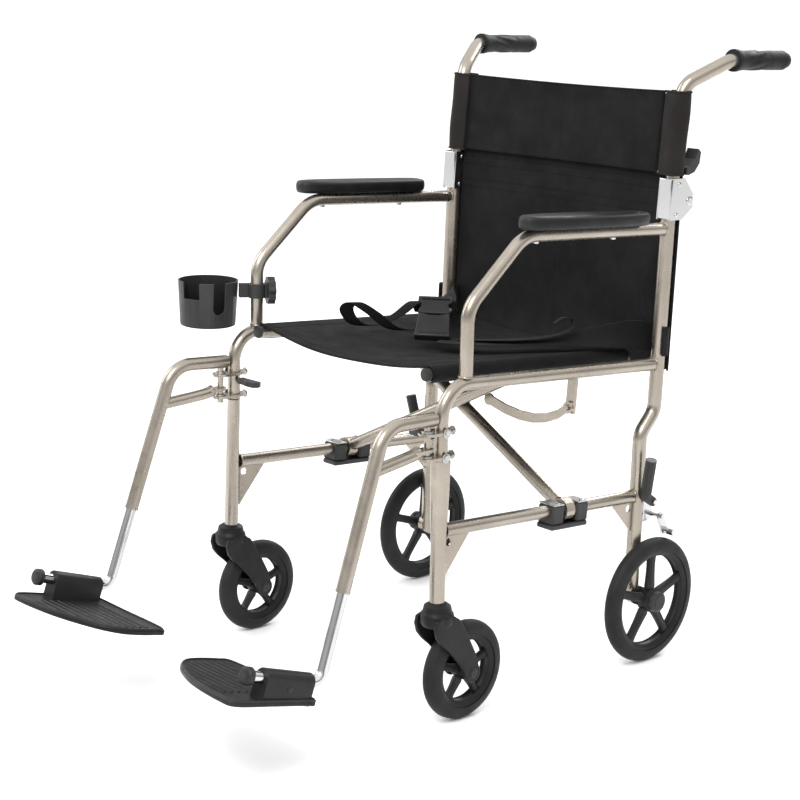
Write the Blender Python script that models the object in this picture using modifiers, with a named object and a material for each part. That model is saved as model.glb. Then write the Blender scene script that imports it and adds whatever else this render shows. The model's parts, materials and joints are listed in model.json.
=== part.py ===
"""Folding transport wheelchair: tube side frames, X-brace, swing-away hangers, fold-down back.

Metres, +Z up. The chair faces -Y and +X is the occupant's left. Everything is first laid out
with y = 0 on the caster stems and z = 0 on the floor, then the whole chair is moved so that the
origin is the bottom centre of its box.
"""
import math

import bmesh
import bpy
from mathutils import Matrix, Vector

# ---------------------------------------------------------------- driving dimensions
FRAME_X = 0.235           # half the distance between the two side frames' tube planes
GAP = 0.0003              # clearance left where two pieces touch
RAIL_R = 0.0095           # seat rail, lower rail and arm tube
POST_R = 0.0110           # back post and caster leg
CANE_R = 0.0105           # push cane tube
FOOT_R = 0.0078           # chrome foot tube
SIDES = 10                # flats on a modelled tube

RAIL_FRONT_Z = 0.5052     # seat rail centre at y = 0
RAIL_SLOPE = -0.056       # the seat falls towards the back
LEG_TOP_Z = 0.3977
LEG_FOOT_X = 0.2385        # the leg leans out a little on its way down
LEG_FOOT_Z = 0.1897
LOWER_RAIL_Z = 0.2942     # lower rail centre at y = 0
BRACE_SLOPE = -0.056      # slope of the lower rail, the seat tubes and every brace pivot

POST_FOOT = (0.4400, 0.1003)
POST_BEND_LOW = (0.4380, 0.3703)
POST_BEND_HIGH = (0.4686, 0.4036)
POST_TOP = (0.4737, 0.7133)

ARM_FRONT_Y = 0.0444
ARM_BEND_LOW_Z = 0.6098
ARM_BEND_HIGH = (0.1513, 0.7037)
ARM_SLOPE = -0.0386
PAD_Y = (0.136, 0.406)
PAD_X = 0.2455
PAD_WIDTH = 0.052
PAD_HEIGHT = 0.020

HINGE_PIN = (0.5050, 0.7336)
CANE_FOOT = (0.4750, 0.7158)
CANE_BEND = (0.235, 0.4885, 0.9087)
GRIP_START = Vector((0.2704, 0.5616, 0.9474))
GRIP_END = Vector((0.2718, 0.6940, 0.9465))
GRIP_R = 0.0155

REAR_HUB = (0.4535, 0.1015)
REAR_WHEEL_R = 0.1015
REAR_WHEEL_X = 0.2605
REAR_RIM_R = 0.0835
CASTER_X = 0.2400
CASTER_HUB = (0.0551, 0.0750)
CASTER_R = 0.0750

BRACE_A_Y = 0.2655        # plane of the brace that starts on the left lower rail
BRACE_B_Y = 0.2440        # plane of the brace that starts on the right lower rail
SEAT_TUBE_X = 0.189
SEAT_TUBE_FRONT_Z = 0.5117
SEAT_TUBE_Y = (0.0120, 0.4450)

LINK_X = 0.2300            # the stabilising link's pin, under the seat rail
LINK_LIFT = 0.1560
LINK_OFFSET = 0.0175      # from the brace's plane to the link's plane

HANGER_PIVOT_Y = -0.0270
HANGER_BEND = (-0.1145, 0.4633)
HANGER_END = (-0.1878, 0.2465)
HANGER_R = 0.0098
FOOT_BEND = (-0.2282, 0.1271)
FOOT_TUBE_LENGTH = 0.128
PLATE_TILT = math.radians(14)
PLATE_DROP = 0.018        # plate top under the foot tube's centre, at the bend

CUP_CENTRE = Vector((-0.2875, -0.0125, 0.5457))
CUP_R = 0.0475
CUP_HEIGHT = 0.072
KNOB_DIRECTION = Vector((0.469, 0.883, 0.0)).normalized()

BRAKE_X = 0.2535          # plane of the brake lever and the shoe bar
BRAKE_LEVER_PIN = (0.4572, 0.2607)
BRAKE_SHOE_PIN = (0.4790, 0.2330)
BRAKE_SHOE_TIP = (0.4900, 0.2085)

PADDLE_PIN = (0.5010, 0.7785)
BUCKLE = Vector((0.020, 0.188, 0.5470))

SIDE_NAMES = {1: "left", -1: "right"}

COLOURS = {
    "champagne": ((0.50, 0.45, 0.38), 0.32, 1.0),
    "chrome": ((0.80, 0.80, 0.80), 0.12, 1.0),
    "zinc": ((0.66, 0.66, 0.64), 0.35, 1.0),
    "black_plastic": ((0.020, 0.020, 0.022), 0.50, 0.0),
    "grip_rubber": ((0.025, 0.025, 0.027), 0.65, 0.0),
    "tyre": ((0.030, 0.029, 0.029), 0.80, 0.0),
    "fabric": ((0.016, 0.016, 0.018), 0.85, 0.0),
    "webbing": ((0.018, 0.018, 0.020), 0.90, 0.0),
}

PARTS = None
CUTTERS = None
ORIGIN = None


# ---------------------------------------------------------------- scene helpers
def start_scene():
    """Empty the scene and make the collections that hold the chair and its cutters."""
    global PARTS, CUTTERS, ORIGIN
    for old in list(bpy.data.objects):
        bpy.data.objects.remove(old, do_unlink=True)
    PARTS = bpy.data.collections.new("transport_wheelchair")
    CUTTERS = bpy.data.collections.new("cutters")
    bpy.context.scene.collection.children.link(PARTS)
    bpy.context.scene.collection.children.link(CUTTERS)
    ORIGIN = bpy.data.objects.new("wheelchair", None)
    PARTS.objects.link(ORIGIN)


def material(name, key):
    """One Principled material for each piece."""
    colour, roughness, metallic = COLOURS[key]
    made = bpy.data.materials.new(name + "_" + key)
    made.use_nodes = True
    shader = made.node_tree.nodes["Principled BSDF"]
    shader.inputs["Base Color"].default_value = (*colour, 1.0)
    shader.inputs["Roughness"].default_value = roughness
    shader.inputs["Metallic"].default_value = metallic
    return made


def pivot(name, location, parent=None):
    """An empty on a joint's axis. The pieces that turn there are its children."""
    empty = bpy.data.objects.new(name, None)
    empty.empty_display_size = 0.03
    PARTS.objects.link(empty)
    empty.parent = parent or ORIGIN
    empty.matrix_world = Matrix.Translation(location)
    bpy.context.view_layer.update()
    return empty


def attach(obj, name, key, parent):
    """Name a finished piece, give it its material and hang it on its body's empty."""
    obj.name = name
    obj.data.name = name
    obj.data.materials.clear()
    obj.data.materials.append(material(name, key))
    obj.parent = parent
    obj.matrix_parent_inverse = parent.matrix_world.inverted()
    if obj.type == "MESH":
        obj.data.shade_smooth()
        obj.data.set_sharp_from_angle(angle=math.radians(35))
    return obj


def link(obj):
    PARTS.objects.link(obj)
    return obj


def mesh_object(name, bm):
    """Turn a bmesh into an object in the parts collection."""
    mesh = bpy.data.meshes.new(name)
    bm.to_mesh(mesh)
    bm.free()
    return link(bpy.data.objects.new(name, mesh))


def to_mesh(obj):
    """Freeze a curve or a modified mesh as a closed mesh in place."""
    bpy.context.view_layer.update()
    evaluated = obj.evaluated_get(bpy.context.evaluated_depsgraph_get())
    mesh = bpy.data.meshes.new_from_object(evaluated)
    bm = bmesh.new()
    bm.from_mesh(mesh)
    bmesh.ops.remove_doubles(bm, verts=bm.verts, dist=0.00001)
    bmesh.ops.recalc_face_normals(bm, faces=bm.faces)
    bm.to_mesh(mesh)
    bm.free()
    frozen = bpy.data.objects.new(obj.name, mesh)
    frozen.matrix_world = obj.matrix_world
    link(frozen)
    bpy.data.objects.remove(obj, do_unlink=True)
    return frozen


def combine(target, tools, operation):
    """Join or cut a mesh with EXACT Booleans; the tools become hidden cutters."""
    for tool in tools:
        step = target.modifiers.new(operation.lower(), "BOOLEAN")
        step.operation = operation
        step.object = tool
        PARTS.objects.unlink(tool)
        CUTTERS.objects.link(tool)
        tool.hide_render = True
        tool.display_type = "WIRE"
        tool.parent = ORIGIN
        tool.name = "cutter"
    return target


def union(target, *tools):
    return combine(target, tools, "UNION")


def cut(target, *tools):
    return combine(target, tools, "DIFFERENCE")


# ---------------------------------------------------------------- shape helpers
def rounded(points, radii, steps=4):
    """A path through the points with each inner corner replaced by an arc."""
    points = [Vector(p) for p in points]
    path = [points[0]]
    for i, radius in zip(range(1, len(points) - 1), radii):
        corner = points[i]
        to_last = (points[i - 1] - corner).normalized()
        to_next = (points[i + 1] - corner).normalized()
        half = to_last.angle(to_next) / 2
        setback = radius / math.tan(half)
        centre = corner + (to_last + to_next).normalized() * (radius / math.sin(half))
        start = (corner + to_last * setback - centre).normalized()
        end = (corner + to_next * setback - centre).normalized()
        for step in range(steps + 1):
            path.append(centre + start.slerp(end, step / steps) * radius)
    path.append(points[-1])
    return path


def tube(points, radius, sides=SIDES):
    """A solid bar of round section along a path."""
    curve = bpy.data.curves.new("tube", "CURVE")
    curve.dimensions = "3D"
    curve.bevel_depth = radius
    curve.bevel_resolution = (sides - 4) // 2
    curve.use_fill_caps = True
    spline = curve.splines.new("POLY")
    spline.points.add(len(points) - 1)
    for spot, place in zip(spline.points, points):
        spot.co = (*place, 1.0)
    return to_mesh(link(bpy.data.objects.new("tube", curve)))


def rod(start, end, radius, sides=16):
    """A cylinder between two points."""
    start, end = Vector(start), Vector(end)
    axis = end - start
    bm = bmesh.new()
    bmesh.ops.create_cone(bm, cap_ends=True, segments=sides, radius1=radius, radius2=radius,
                          depth=axis.length)
    turn = Vector((0, 0, 1)).rotation_difference(axis).to_matrix().to_4x4()
    bm.transform(Matrix.Translation((start + end) / 2) @ turn)
    return mesh_object("rod", bm)


def block(centre, size, turn=None, bevel=0.0):
    """A box, with its edges rounded when a bevel width is given."""
    bm = bmesh.new()
    bmesh.ops.create_cube(bm, size=1.0)
    bmesh.ops.scale(bm, vec=size, verts=bm.verts)
    if bevel:
        bmesh.ops.bevel(bm, geom=bm.edges, offset=bevel, segments=1, affect="EDGES")
    bm.transform(Matrix.Translation(centre) @ (turn or Matrix.Identity(4)))
    return mesh_object("block", bm)


def lathe(profile, centre, axis, steps=32):
    """Turn a profile of (radius, height) points, listed top to bottom, about an axis."""
    bm = bmesh.new()
    spots = [bm.verts.new((radius, 0, height)) for radius, height in profile]
    for a, b in zip(spots, spots[1:]):
        bm.edges.new((a, b))
    if profile[0][0] > 0:
        bm.edges.new((spots[-1], spots[0]))
    obj = mesh_object("lathe", bm)
    screw = obj.modifiers.new("turn", "SCREW")
    screw.steps = steps
    screw.render_steps = steps
    screw.use_merge_vertices = True
    screw.merge_threshold = 0.00001
    turn = Vector((0, 0, 1)).rotation_difference(Vector(axis)).to_matrix().to_4x4()
    obj.matrix_world = Matrix.Translation(centre) @ turn
    frozen = to_mesh(obj)
    frozen.data.transform(frozen.matrix_world)
    frozen.matrix_world = Matrix.Identity(4)
    return frozen


def plates(outlines, thickness, place):
    """Flat outlines in the XY plane given a thickness and put in place."""
    curve = bpy.data.curves.new("plate", "CURVE")
    curve.dimensions = "2D"
    curve.fill_mode = "BOTH"
    curve.extrude = thickness / 2
    for outline in outlines:
        spline = curve.splines.new("POLY")
        spline.points.add(len(outline) - 1)
        for spot, (u, v) in zip(spline.points, outline):
            spot.co = (u, v, 0.0, 1.0)
        spline.use_cyclic_u = True
    frozen = to_mesh(link(bpy.data.objects.new("plate", curve)))
    frozen.data.transform(place)
    return frozen


def side_plate(outline, x, thickness):
    """A plate parallel to the side frame: the outline is in (y, z)."""
    place = Matrix(((0, 0, 1, x), (1, 0, 0, 0), (0, 1, 0, 0), (0, 0, 0, 1)))
    return plates([outline], thickness, place)


def bore_radius(radius, sides):
    """Corner radius of a bore with flat sides that clears a round bar."""
    return radius / math.cos(math.pi / sides)


def arc(centre, radius, start, end, steps):
    """Points on an arc, angles in degrees."""
    angles = [math.radians(start + (end - start) * i / steps) for i in range(steps + 1)]
    return [(centre[0] + radius * math.cos(a), centre[1] + radius * math.sin(a)) for a in angles]


def capsule(start, end, radius, steps=5):
    """Outline of a bar with round ends between two (u, v) points."""
    heading = math.degrees(math.atan2(end[1] - start[1], end[0] - start[0]))
    return (arc(end, radius, heading - 90, heading + 90, steps)
            + arc(start, radius, heading + 90, heading + 270, steps))


def ring_loft(rings):
    """A solid skinned over rings of points, closed at both ends."""
    bm = bmesh.new()
    loops = [[bm.verts.new(p) for p in ring] for ring in rings]
    for low, high in zip(loops, loops[1:]):
        for i in range(len(low)):
            j = (i + 1) % len(low)
            bm.faces.new((low[i], low[j], high[j], high[i]))
    bm.faces.new(list(reversed(loops[0])))
    bm.faces.new(loops[-1])
    bmesh.ops.recalc_face_normals(bm, faces=bm.faces)
    return mesh_object("loft", bm)


def sheet(rows, thickness):
    """A thin cloth or webbing shell through rows of points."""
    bm = bmesh.new()
    grid = [[bm.verts.new(p) for p in row] for row in rows]
    for low, high in zip(grid, grid[1:]):
        for i in range(len(low) - 1):
            bm.faces.new((low[i], low[i + 1], high[i + 1], high[i]))
    obj = mesh_object("sheet", bm)
    shell = obj.modifiers.new("thickness", "SOLIDIFY")
    shell.thickness = thickness
    shell.offset = 0
    return to_mesh(obj)


# ---------------------------------------------------------------- side frame
def rail_z(y):
    return RAIL_FRONT_Z + RAIL_SLOPE * y


def post_y(z):
    """Centre of the back post above its cranked bend."""
    share = (z - POST_BEND_HIGH[1]) / (POST_TOP[1] - POST_BEND_HIGH[1])
    return POST_BEND_HIGH[0] + share * (POST_TOP[0] - POST_BEND_HIGH[0])


def lower_z(y):
    return LOWER_RAIL_Z + BRACE_SLOPE * y


def seat_tube_z(y):
    return SEAT_TUBE_FRONT_Z + BRACE_SLOPE * y


def brace_axis():
    """Every pivot of the fold is parallel to the lower rails."""
    return Vector((0, 1, BRACE_SLOPE)).normalized()


def brace_point(x, y, lift):
    """A point in the fold: lift is measured from the lower rail, square to the pivots."""
    axis = brace_axis()
    up = Vector((1, 0, 0)).cross(axis)
    foot = Vector((x, y, lower_z(y)))
    return foot + up * lift


TOP_LIFT = SEAT_TUBE_FRONT_Z - LOWER_RAIL_Z
CROSS_LIFT = TOP_LIFT * FRAME_X / (FRAME_X + SEAT_TUBE_X)


def make_seat_rail(s, name, body):
    """Seat rail and front post in one bent tube, with the two hanger plates around the post."""
    x = s * FRAME_X
    back_y = post_y(0.479) - POST_R - GAP
    path = rounded([(x, back_y, rail_z(back_y)), (x, 0, rail_z(0)), (x, 0, LEG_TOP_Z + GAP)], [0.045], 5)
    rail = tube(path, RAIL_R)
    for z in (0.4397, 0.4042):
        outline = capsule((x, 0.008), (x, HANGER_PIVOT_Y), 0.0135, 4)
        rail = union(rail, plates([outline], 0.004, Matrix.Translation((0, 0, z))))
    hole = rod((x, HANGER_PIVOT_Y, 0.39), (x, HANGER_PIVOT_Y, 0.45), 0.0064, 10)
    if s > 0:
        rail = add_link_lug(rail, s)
    attach(cut(rail, hole), "seat_rail_" + name, "champagne", body)


def add_link_lug(rail, s):
    """Lug and stud under the seat rail for the stabilising link."""
    axis = brace_axis()
    pin = link_pin(s)
    lug_middle = pin + axis * s * 0.0055
    top = rail_z(lug_middle.y)
    lean = Matrix.Rotation(math.atan(BRACE_SLOPE), 4, "X")
    tall = top - pin.z + 0.009
    lug = block(lug_middle + lean.to_3x3() @ Vector((0, 0, tall / 2 - 0.009)), (0.0160, 0.0060, tall), lean)
    stud = rod(lug_middle, pin - axis * s * 0.0060, 0.0040, 12)
    return union(rail, lug, stud)


def make_leg(s, name, body):
    """Caster leg: an oval mouth that takes the front post, drawn down to a round tube."""
    rings = []
    for z, wide, narrow in ((LEG_FOOT_Z, POST_R, POST_R), (0.277, 0.0112, 0.0108),
                            (0.332, 0.0130, 0.0106), (LEG_TOP_Z, 0.0148, 0.0104)):
        ring = []
        for i in range(16):
            a = 2 * math.pi * i / 16
            u, v = wide * math.cos(a), narrow * math.sin(a)
            c = math.sqrt(0.5)
            lean = (LEG_FOOT_X - FRAME_X) * (LEG_TOP_Z - z) / (LEG_TOP_Z - LEG_FOOT_Z)
            ring.append((s * (FRAME_X + lean + c * (u - v)), c * (u + v), z))
        rings.append(ring)
    attach(ring_loft(rings), "leg_tube_" + name, "champagne", body)


def make_lower_rail(s, name, body):
    """Lower rail with a drilled gusset under each end."""
    x = s * FRAME_X
    front_y = 0.0112 + GAP + 0.0006
    back_y = POST_BEND_LOW[0] + 0.0007 - POST_R - GAP
    rail = tube([(x, front_y, lower_z(front_y)), (x, back_y, lower_z(back_y))], RAIL_R)
    front = [(front_y, lower_z(front_y)), (0.070, lower_z(0.070)), (front_y, 0.2200)]
    rear = [(back_y, lower_z(back_y)), (back_y, 0.2130), (0.370, lower_z(0.370))]
    for outline, hole in ((front, (0.0205, 0.2745)), (rear, (back_y - 0.009, 0.2520))):
        gusset = side_plate(outline, x, 0.003)
        drill = rod((x - 0.01, *hole), (x + 0.01, *hole), 0.0060, 12)
        rail = cut(union(rail, gusset), drill)
    attach(rail, "lower_rail_" + name, "champagne", body)


def arm_z(y):
    return ARM_BEND_HIGH[1] + ARM_SLOPE * (y - ARM_BEND_HIGH[0])


def make_arm(s, name, body):
    """Arm tube, from the seat rail up, forward bend and back to the post."""
    x = s * FRAME_X
    foot_z = rail_z(ARM_FRONT_Y) + RAIL_R + 0.0012
    end_y = post_y(0.691) - POST_R - GAP
    path = rounded([(x, ARM_FRONT_Y, foot_z), (x, ARM_FRONT_Y - 0.001, ARM_BEND_LOW_Z),
                    (x, *ARM_BEND_HIGH), (x, end_y, arm_z(end_y))], [0.045, 0.060])
    attach(tube(path, RAIL_R), "arm_tube_" + name, "champagne", body)
    half = PAD_WIDTH / 2
    front, back = PAD_Y
    outline = []
    for end, radius, start in ((front, 0.018, 270), (back, 0.025, 0), (back, 0.025, 90), (front, 0.018, 180)):
        across = half - radius if start in (270, 0) else radius - half
        along = end + radius if end == front else end - radius
        outline += arc((PAD_X + across, along), radius, start, start + 90, 3)
    pad = plates([[(s * u, v) for u, v in outline]], PAD_HEIGHT, Matrix.Identity(4))
    tilt = Matrix.Rotation(math.atan(ARM_SLOPE), 4, "X")
    middle = (front + back) / 2
    lift = arm_z(middle) + RAIL_R + GAP + PAD_HEIGHT / 2
    pad.data.transform(Matrix.Translation((0, middle, lift)) @ tilt @ Matrix.Translation((0, -middle, 0)))
    edge = pad.modifiers.new("round", "BEVEL")
    edge.width = 0.004
    edge.segments = 1
    edge.limit_method = "ANGLE"
    edge.angle_limit = math.radians(60)
    attach(to_mesh(pad), "arm_pad_" + name, "black_plastic", body)


def make_back_post(s, name, body):
    """Back post with its cranked bend and the lug that carries the rear axle."""
    x = s * FRAME_X
    path = rounded([(x, *POST_FOOT), (x, *POST_BEND_LOW), (x, *POST_BEND_HIGH), (x, *POST_TOP)],
                   [0.030, 0.030], 3)
    post = tube(path, POST_R)
    lug = side_plate(capsule((POST_FOOT[0], 0.108), REAR_HUB, 0.015), x + s * 0.0050, 0.010)
    attach(union(post, lug), "back_post_" + name, "champagne", body)


def make_hinge(s, name, body):
    """Chrome channel that joins the post to the push cane, with the cane's hinge pin."""
    x = s * FRAME_X
    cheek = [(0.4610, 0.7055), (0.4890, 0.7055), (0.5140, 0.7230), (0.5140, 0.7440),
             (0.4920, 0.7690), (0.4640, 0.7690)]
    thick = 0.0022
    offset = POST_R + GAP + thick / 2 + 0.0002
    left = side_plate(cheek, x + offset, thick)
    right = side_plate(cheek, x - offset, thick)
    width = 2 * offset
    back = block((x, 0.4872, 0.7090), (width, 0.0022, 0.0070))
    pin = rod((x - offset - 0.004, *HINGE_PIN), (x + offset + 0.004, *HINGE_PIN), 0.0040, 12)
    attach(union(left, right, back, pin), "hinge_bracket_" + name, "chrome", body)


def make_cane(s, name, frame):
    """Push cane with its hinge lug, and the hollow grip on its end."""
    body = pivot("cane_" + name + "_hinge", (s * FRAME_X, *HINGE_PIN), frame)
    mirror = Vector((s, 1, 1))
    start, end = GRIP_START * mirror, GRIP_END * mirror
    heading = (end - start).normalized()
    tip = end - heading * 0.012
    bend = Vector(CANE_BEND) * mirror
    knee = start - heading * 0.006
    path = rounded([(s * FRAME_X, *CANE_FOOT), bend, knee, tip], [0.035, 0.035], 4)
    lug_outline = capsule((CANE_FOOT[0] + 0.0010, HINGE_PIN[1]), HINGE_PIN, 0.0085)
    lug = side_plate(lug_outline, s * FRAME_X, 0.016)
    hole = rod((s * FRAME_X - 0.02, *HINGE_PIN), (s * FRAME_X + 0.02, *HINGE_PIN), 0.0045, 12)
    cane = cut(union(tube(path, CANE_R), lug), hole)
    attach(cane, "push_cane_" + name, "champagne", body)

    length = (end - start).length
    bore = CANE_R + 0.0013
    profile = [(0, length), (0.0120, length), (GRIP_R, length - 0.005), (GRIP_R - 0.001, 0.060),
               (GRIP_R, 0.012), (0.0180, 0.006), (0.0180, 0.0), (bore, 0.0), (bore, length - 0.010),
               (0, length - 0.010)]
    attach(lathe(profile, start, heading, 16), "hand_grip_" + name, "grip_rubber", body)

    paddle_body = pivot("paddle_" + name + "_hinge", (s * FRAME_X, *PADDLE_PIN), body)
    blade = [(0.4975, 0.7735), (0.5030, 0.7730), (0.5170, 0.7772), (0.5280, 0.7902), (0.5300, 0.8072),
             (0.5240, 0.8122), (0.5165, 0.7972), (0.5060, 0.7872), (0.4985, 0.7842)]
    paddle = side_plate(blade, s * FRAME_X, 0.022)
    attach(paddle, "release_paddle_" + name, "black_plastic", paddle_body)


# ---------------------------------------------------------------- wheels
def windows(centre, axis_x, inner, outer, depth):
    """Five window prisms between the spokes of a wheel."""
    outlines = []
    for k in range(5):
        middle = 90 + 72 * k + 36
        low = 36 - math.degrees(math.asin(0.0075 / inner))
        high = 36 - math.degrees(math.asin(0.0070 / outer))
        outlines.append(arc((0, 0), outer, middle - high, middle + high, 3)
                        + arc((0, 0), inner, middle + low, middle - low, 1))
    place = Matrix(((0, 0, 1, axis_x), (1, 0, 0, centre[0]), (0, 1, 0, centre[1]), (0, 0, 0, 1)))
    return plates(outlines, depth, place)


def make_rear_wheel(s, name, frame):
    """Five-spoke rear wheel, its tyre, and the axle bolt that is fixed to the post."""
    x = s * REAR_WHEEL_X
    hub = Vector((x, *REAR_HUB))
    bore = 0.0068
    body = pivot("rear_wheel_" + name + "_axis", hub, frame)
    rim = REAR_RIM_R
    half = [(bore, 0.0125), (0.0190, 0.0125), (0.0190, 0.0040), (rim - 0.022, 0.0040),
            (rim - 0.018, 0.0105), (rim, 0.0105)]
    profile = half + [(r, -z) for r, z in reversed(half)]
    wheel = lathe(profile, hub, (s, 0, 0), 24)
    wheel = cut(wheel, windows(REAR_HUB, x, 0.0215, rim - 0.024, 0.06))
    attach(wheel, "rear_wheel_" + name, "black_plastic", body)
    inside = rim + GAP + 0.0005
    tyre = [(inside, 0.0120), (REAR_WHEEL_R - 0.005, 0.0130), (REAR_WHEEL_R, 0.0070),
            (REAR_WHEEL_R, -0.0070), (REAR_WHEEL_R - 0.005, -0.0130), (inside, -0.0120)]
    attach(lathe(tyre, hub, (s, 0, 0), 28), "rear_tyre_" + name, "tyre", body)
    seat = Vector((s * (FRAME_X + 0.0100 + GAP), *REAR_HUB))
    shaft = [(0, 0.0390), (0.0110, 0.0390), (0.0165, 0.0360), (0.0165, 0.0290), (0.0060, 0.0290),
             (0.0060, 0.0022), (0.0100, 0.0022), (0.0100, 0.0), (0, 0.0)]
    attach(lathe(shaft, seat, (s, 0, 0), 16), "rear_axle_" + name, "black_plastic", frame)


def make_caster(s, name, frame):
    """Swivelling caster: one-piece fork with its axle, and the wheel with a moulded tyre."""
    x = s * CASTER_X
    fork_body = pivot("caster_" + name + "_swivel", (x, 0, LEG_FOOT_Z), frame)
    top = LEG_FOOT_Z - GAP
    cup = [(0, top), (0.0125, top), (0.0200, top - 0.004), (0.0215, top - 0.012), (0.0230, top - 0.015),
           (0.0250, 0.1600), (0.0180, 0.1540), (0, 0.1540)]
    crown = lathe([(r, z) for r, z in cup], (x, 0, 0), (0, 0, 1), 16)
    arm = [(-0.0245, 0.1560), (-0.0200, 0.1710), (0.0120, 0.1730), (0.0330, 0.1520), (0.0620, 0.1050)]
    arm += arc(CASTER_HUB, 0.0150, 30, -130, 4)
    arm += [(0.0260, 0.0960), (-0.0120, 0.1300)]
    arms = [side_plate(arm, x + side * 0.0205, 0.0060) for side in (1, -1)]
    bridge = block((x, 0.002, 0.1635), (0.0420, 0.0400, 0.0130))
    axle = rod((x - 0.0265, *CASTER_HUB), (x + 0.0265, *CASTER_HUB), 0.0050, 10)
    attach(union(crown, *arms, bridge, axle), "caster_fork_" + name, "black_plastic", fork_body)
    hub = Vector((x, *CASTER_HUB))
    wheel_body = pivot("caster_wheel_" + name + "_axis", hub, fork_body)
    edge = CASTER_R
    half = [(0.0057, 0.0150), (0.0140, 0.0150), (0.0140, 0.0035), (0.0465, 0.0035), (0.0480, 0.0115),
            (0.0680, 0.0138), (edge, 0.0070)]
    profile = half + [(r, -z) for r, z in reversed(half)]
    wheel = lathe(profile, hub, (s, 0, 0), 24)
    wheel = cut(wheel, windows(CASTER_HUB, x, 0.0165, 0.0445, 0.05))
    attach(wheel, "caster_wheel_" + name, "tyre", wheel_body)


# ---------------------------------------------------------------- brake
def make_brake(s, name, frame):
    """Wheel lock: plate on the post, hand lever and the shoe bar it pushes on to the tyre."""
    x = s * BRAKE_X
    bottom = [(0.4510, 0.2220), (0.4800, 0.2220), (0.4860, 0.2330), (0.4800, 0.2450), (0.4650, 0.2690),
              (0.4510, 0.2730)]
    plate = side_plate(bottom, s * (FRAME_X - 0.004), 0.0030)
    foot = block((s * FRAME_X, 0.4522, 0.2475), (0.0110, 0.0030, 0.0440))
    pins = [rod((s * (FRAME_X - 0.004), *pin), (s * (BRAKE_X + 0.0048), *pin), 0.0035, 12)
            for pin in (BRAKE_LEVER_PIN, BRAKE_SHOE_PIN)]
    attach(union(plate, foot, *pins), "brake_bracket_" + name, "chrome", frame)

    lever_body = pivot("brake_lever_" + name + "_pin", (x, *BRAKE_LEVER_PIN), frame)
    arm = capsule(BRAKE_LEVER_PIN, (0.4323, 0.2762), 0.0075)
    bar = side_plate(arm, x, 0.0040)
    hole = rod((x - 0.01, *BRAKE_LEVER_PIN), (x + 0.01, *BRAKE_LEVER_PIN), 0.0040, 12)
    grip = tube([(s * 0.2585, 0.4319, 0.2752), (s * 0.2600, 0.4307, 0.2812), (s * 0.2715, 0.4240, 0.3350),
                 (s * 0.2722, 0.4237, 0.3385)], 0.0092)
    attach(union(cut(bar, hole), grip), "brake_lever_" + name, "black_plastic", lever_body)

    shoe_body = pivot("brake_shoe_" + name + "_pin", (x, *BRAKE_SHOE_PIN), frame)
    tip = BRAKE_SHOE_TIP
    bar = side_plate(capsule(BRAKE_SHOE_PIN, tip, 0.0070), x, 0.0040)
    hole = rod((x - 0.01, *BRAKE_SHOE_PIN), (x + 0.01, *BRAKE_SHOE_PIN), 0.0040, 12)
    shoe = rod((s * (BRAKE_X - 0.002), *tip), (s * 0.2740, *tip), 0.0055, 12)
    attach(union(cut(bar, hole), shoe), "brake_shoe_" + name, "chrome", shoe_body)


# ---------------------------------------------------------------- leg rests
def down_axis():
    """Unit vector down the hanger's lower tube, in (y, z)."""
    return (Vector(HANGER_END) - Vector(HANGER_BEND)).normalized()


def make_hanger(s, name, frame):
    """Swing-away hanger, its latch lever, the telescopic foot tube and the flip-up foot plate."""
    x = s * FRAME_X
    low_x = s * 0.2470
    axis = down_axis()
    body = pivot("hanger_" + name + "_pivot", (x, HANGER_PIVOT_Y, 0.4220), frame)
    path = rounded([(x, -0.0155, 0.4595), (s * 0.2410, *HANGER_BEND), (low_x, *HANGER_END)], [0.042], 4)
    bend_spot = Vector((s * 0.2410, *HANGER_BEND))
    end_spot = Vector((low_x, *HANGER_END))
    slope = (end_spot - bend_spot).normalized()
    hanger = tube(path, HANGER_R)
    bore = rod(end_spot - slope * 0.172, end_spot + slope * 0.010, FOOT_R + 0.0008, 12)
    join_y = HANGER_BEND[0] + axis[0] / axis[1] * (0.4087 - HANGER_BEND[1])
    strut = tube([(x, -0.0430, 0.4167), (x, -0.0600, 0.4122), (s * 0.2425, join_y, 0.4047)], 0.0085)
    tongue = plates([capsule((x, HANGER_PIVOT_Y), (x, -0.0490), 0.0095)], 0.0050,
                    Matrix.Translation((0, 0, 0.4167)))
    pin = rod((x, HANGER_PIVOT_Y, 0.3950), (x, HANGER_PIVOT_Y, 0.4590), 0.0050, 12)
    hanger = cut(union(hanger, strut, tongue, pin), bore)
    attach(hanger, "hanger_" + name, "champagne", body)

    latch_pin = Vector((s * (FRAME_X - 0.0215), 0, 0.4297))
    latch_body = pivot("latch_" + name + "_pin", latch_pin, frame)
    outline = [(0.0065, -0.0060), (-0.0100, -0.0070), (-0.0200, -0.0090), (-0.0360, -0.0080),
               (-0.0400, 0.0), (-0.0360, 0.0080), (-0.0200, 0.0070), (0.0065, 0.0060)]
    place = Matrix.Translation(latch_pin) @ Matrix.Diagonal((s, 1, 1, 1))
    latch = plates([outline], 0.0080, place)
    if s < 0:
        latch = to_mesh(latch)
    attach(latch, "hanger_latch_" + name, "black_plastic", latch_body)

    tube_body = pivot("foot_tube_" + name + "_slide", end_spot, body)
    corner = end_spot + slope * ((FOOT_BEND[1] - end_spot[2]) / slope[2])
    forward = Vector((0, axis[1], -axis[0])).normalized()
    tip = corner + forward * FOOT_TUBE_LENGTH
    path = rounded([end_spot - slope * 0.100, corner, tip], [0.018], 5)
    knob = rod(tip - forward * 0.001, tip + forward * 0.007, 0.0115, 16)
    attach(union(tube(path, FOOT_R), knob), "foot_tube_" + name, "chrome", tube_body)
    make_foot_plate(s, name, tube_body, corner, forward)


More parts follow.
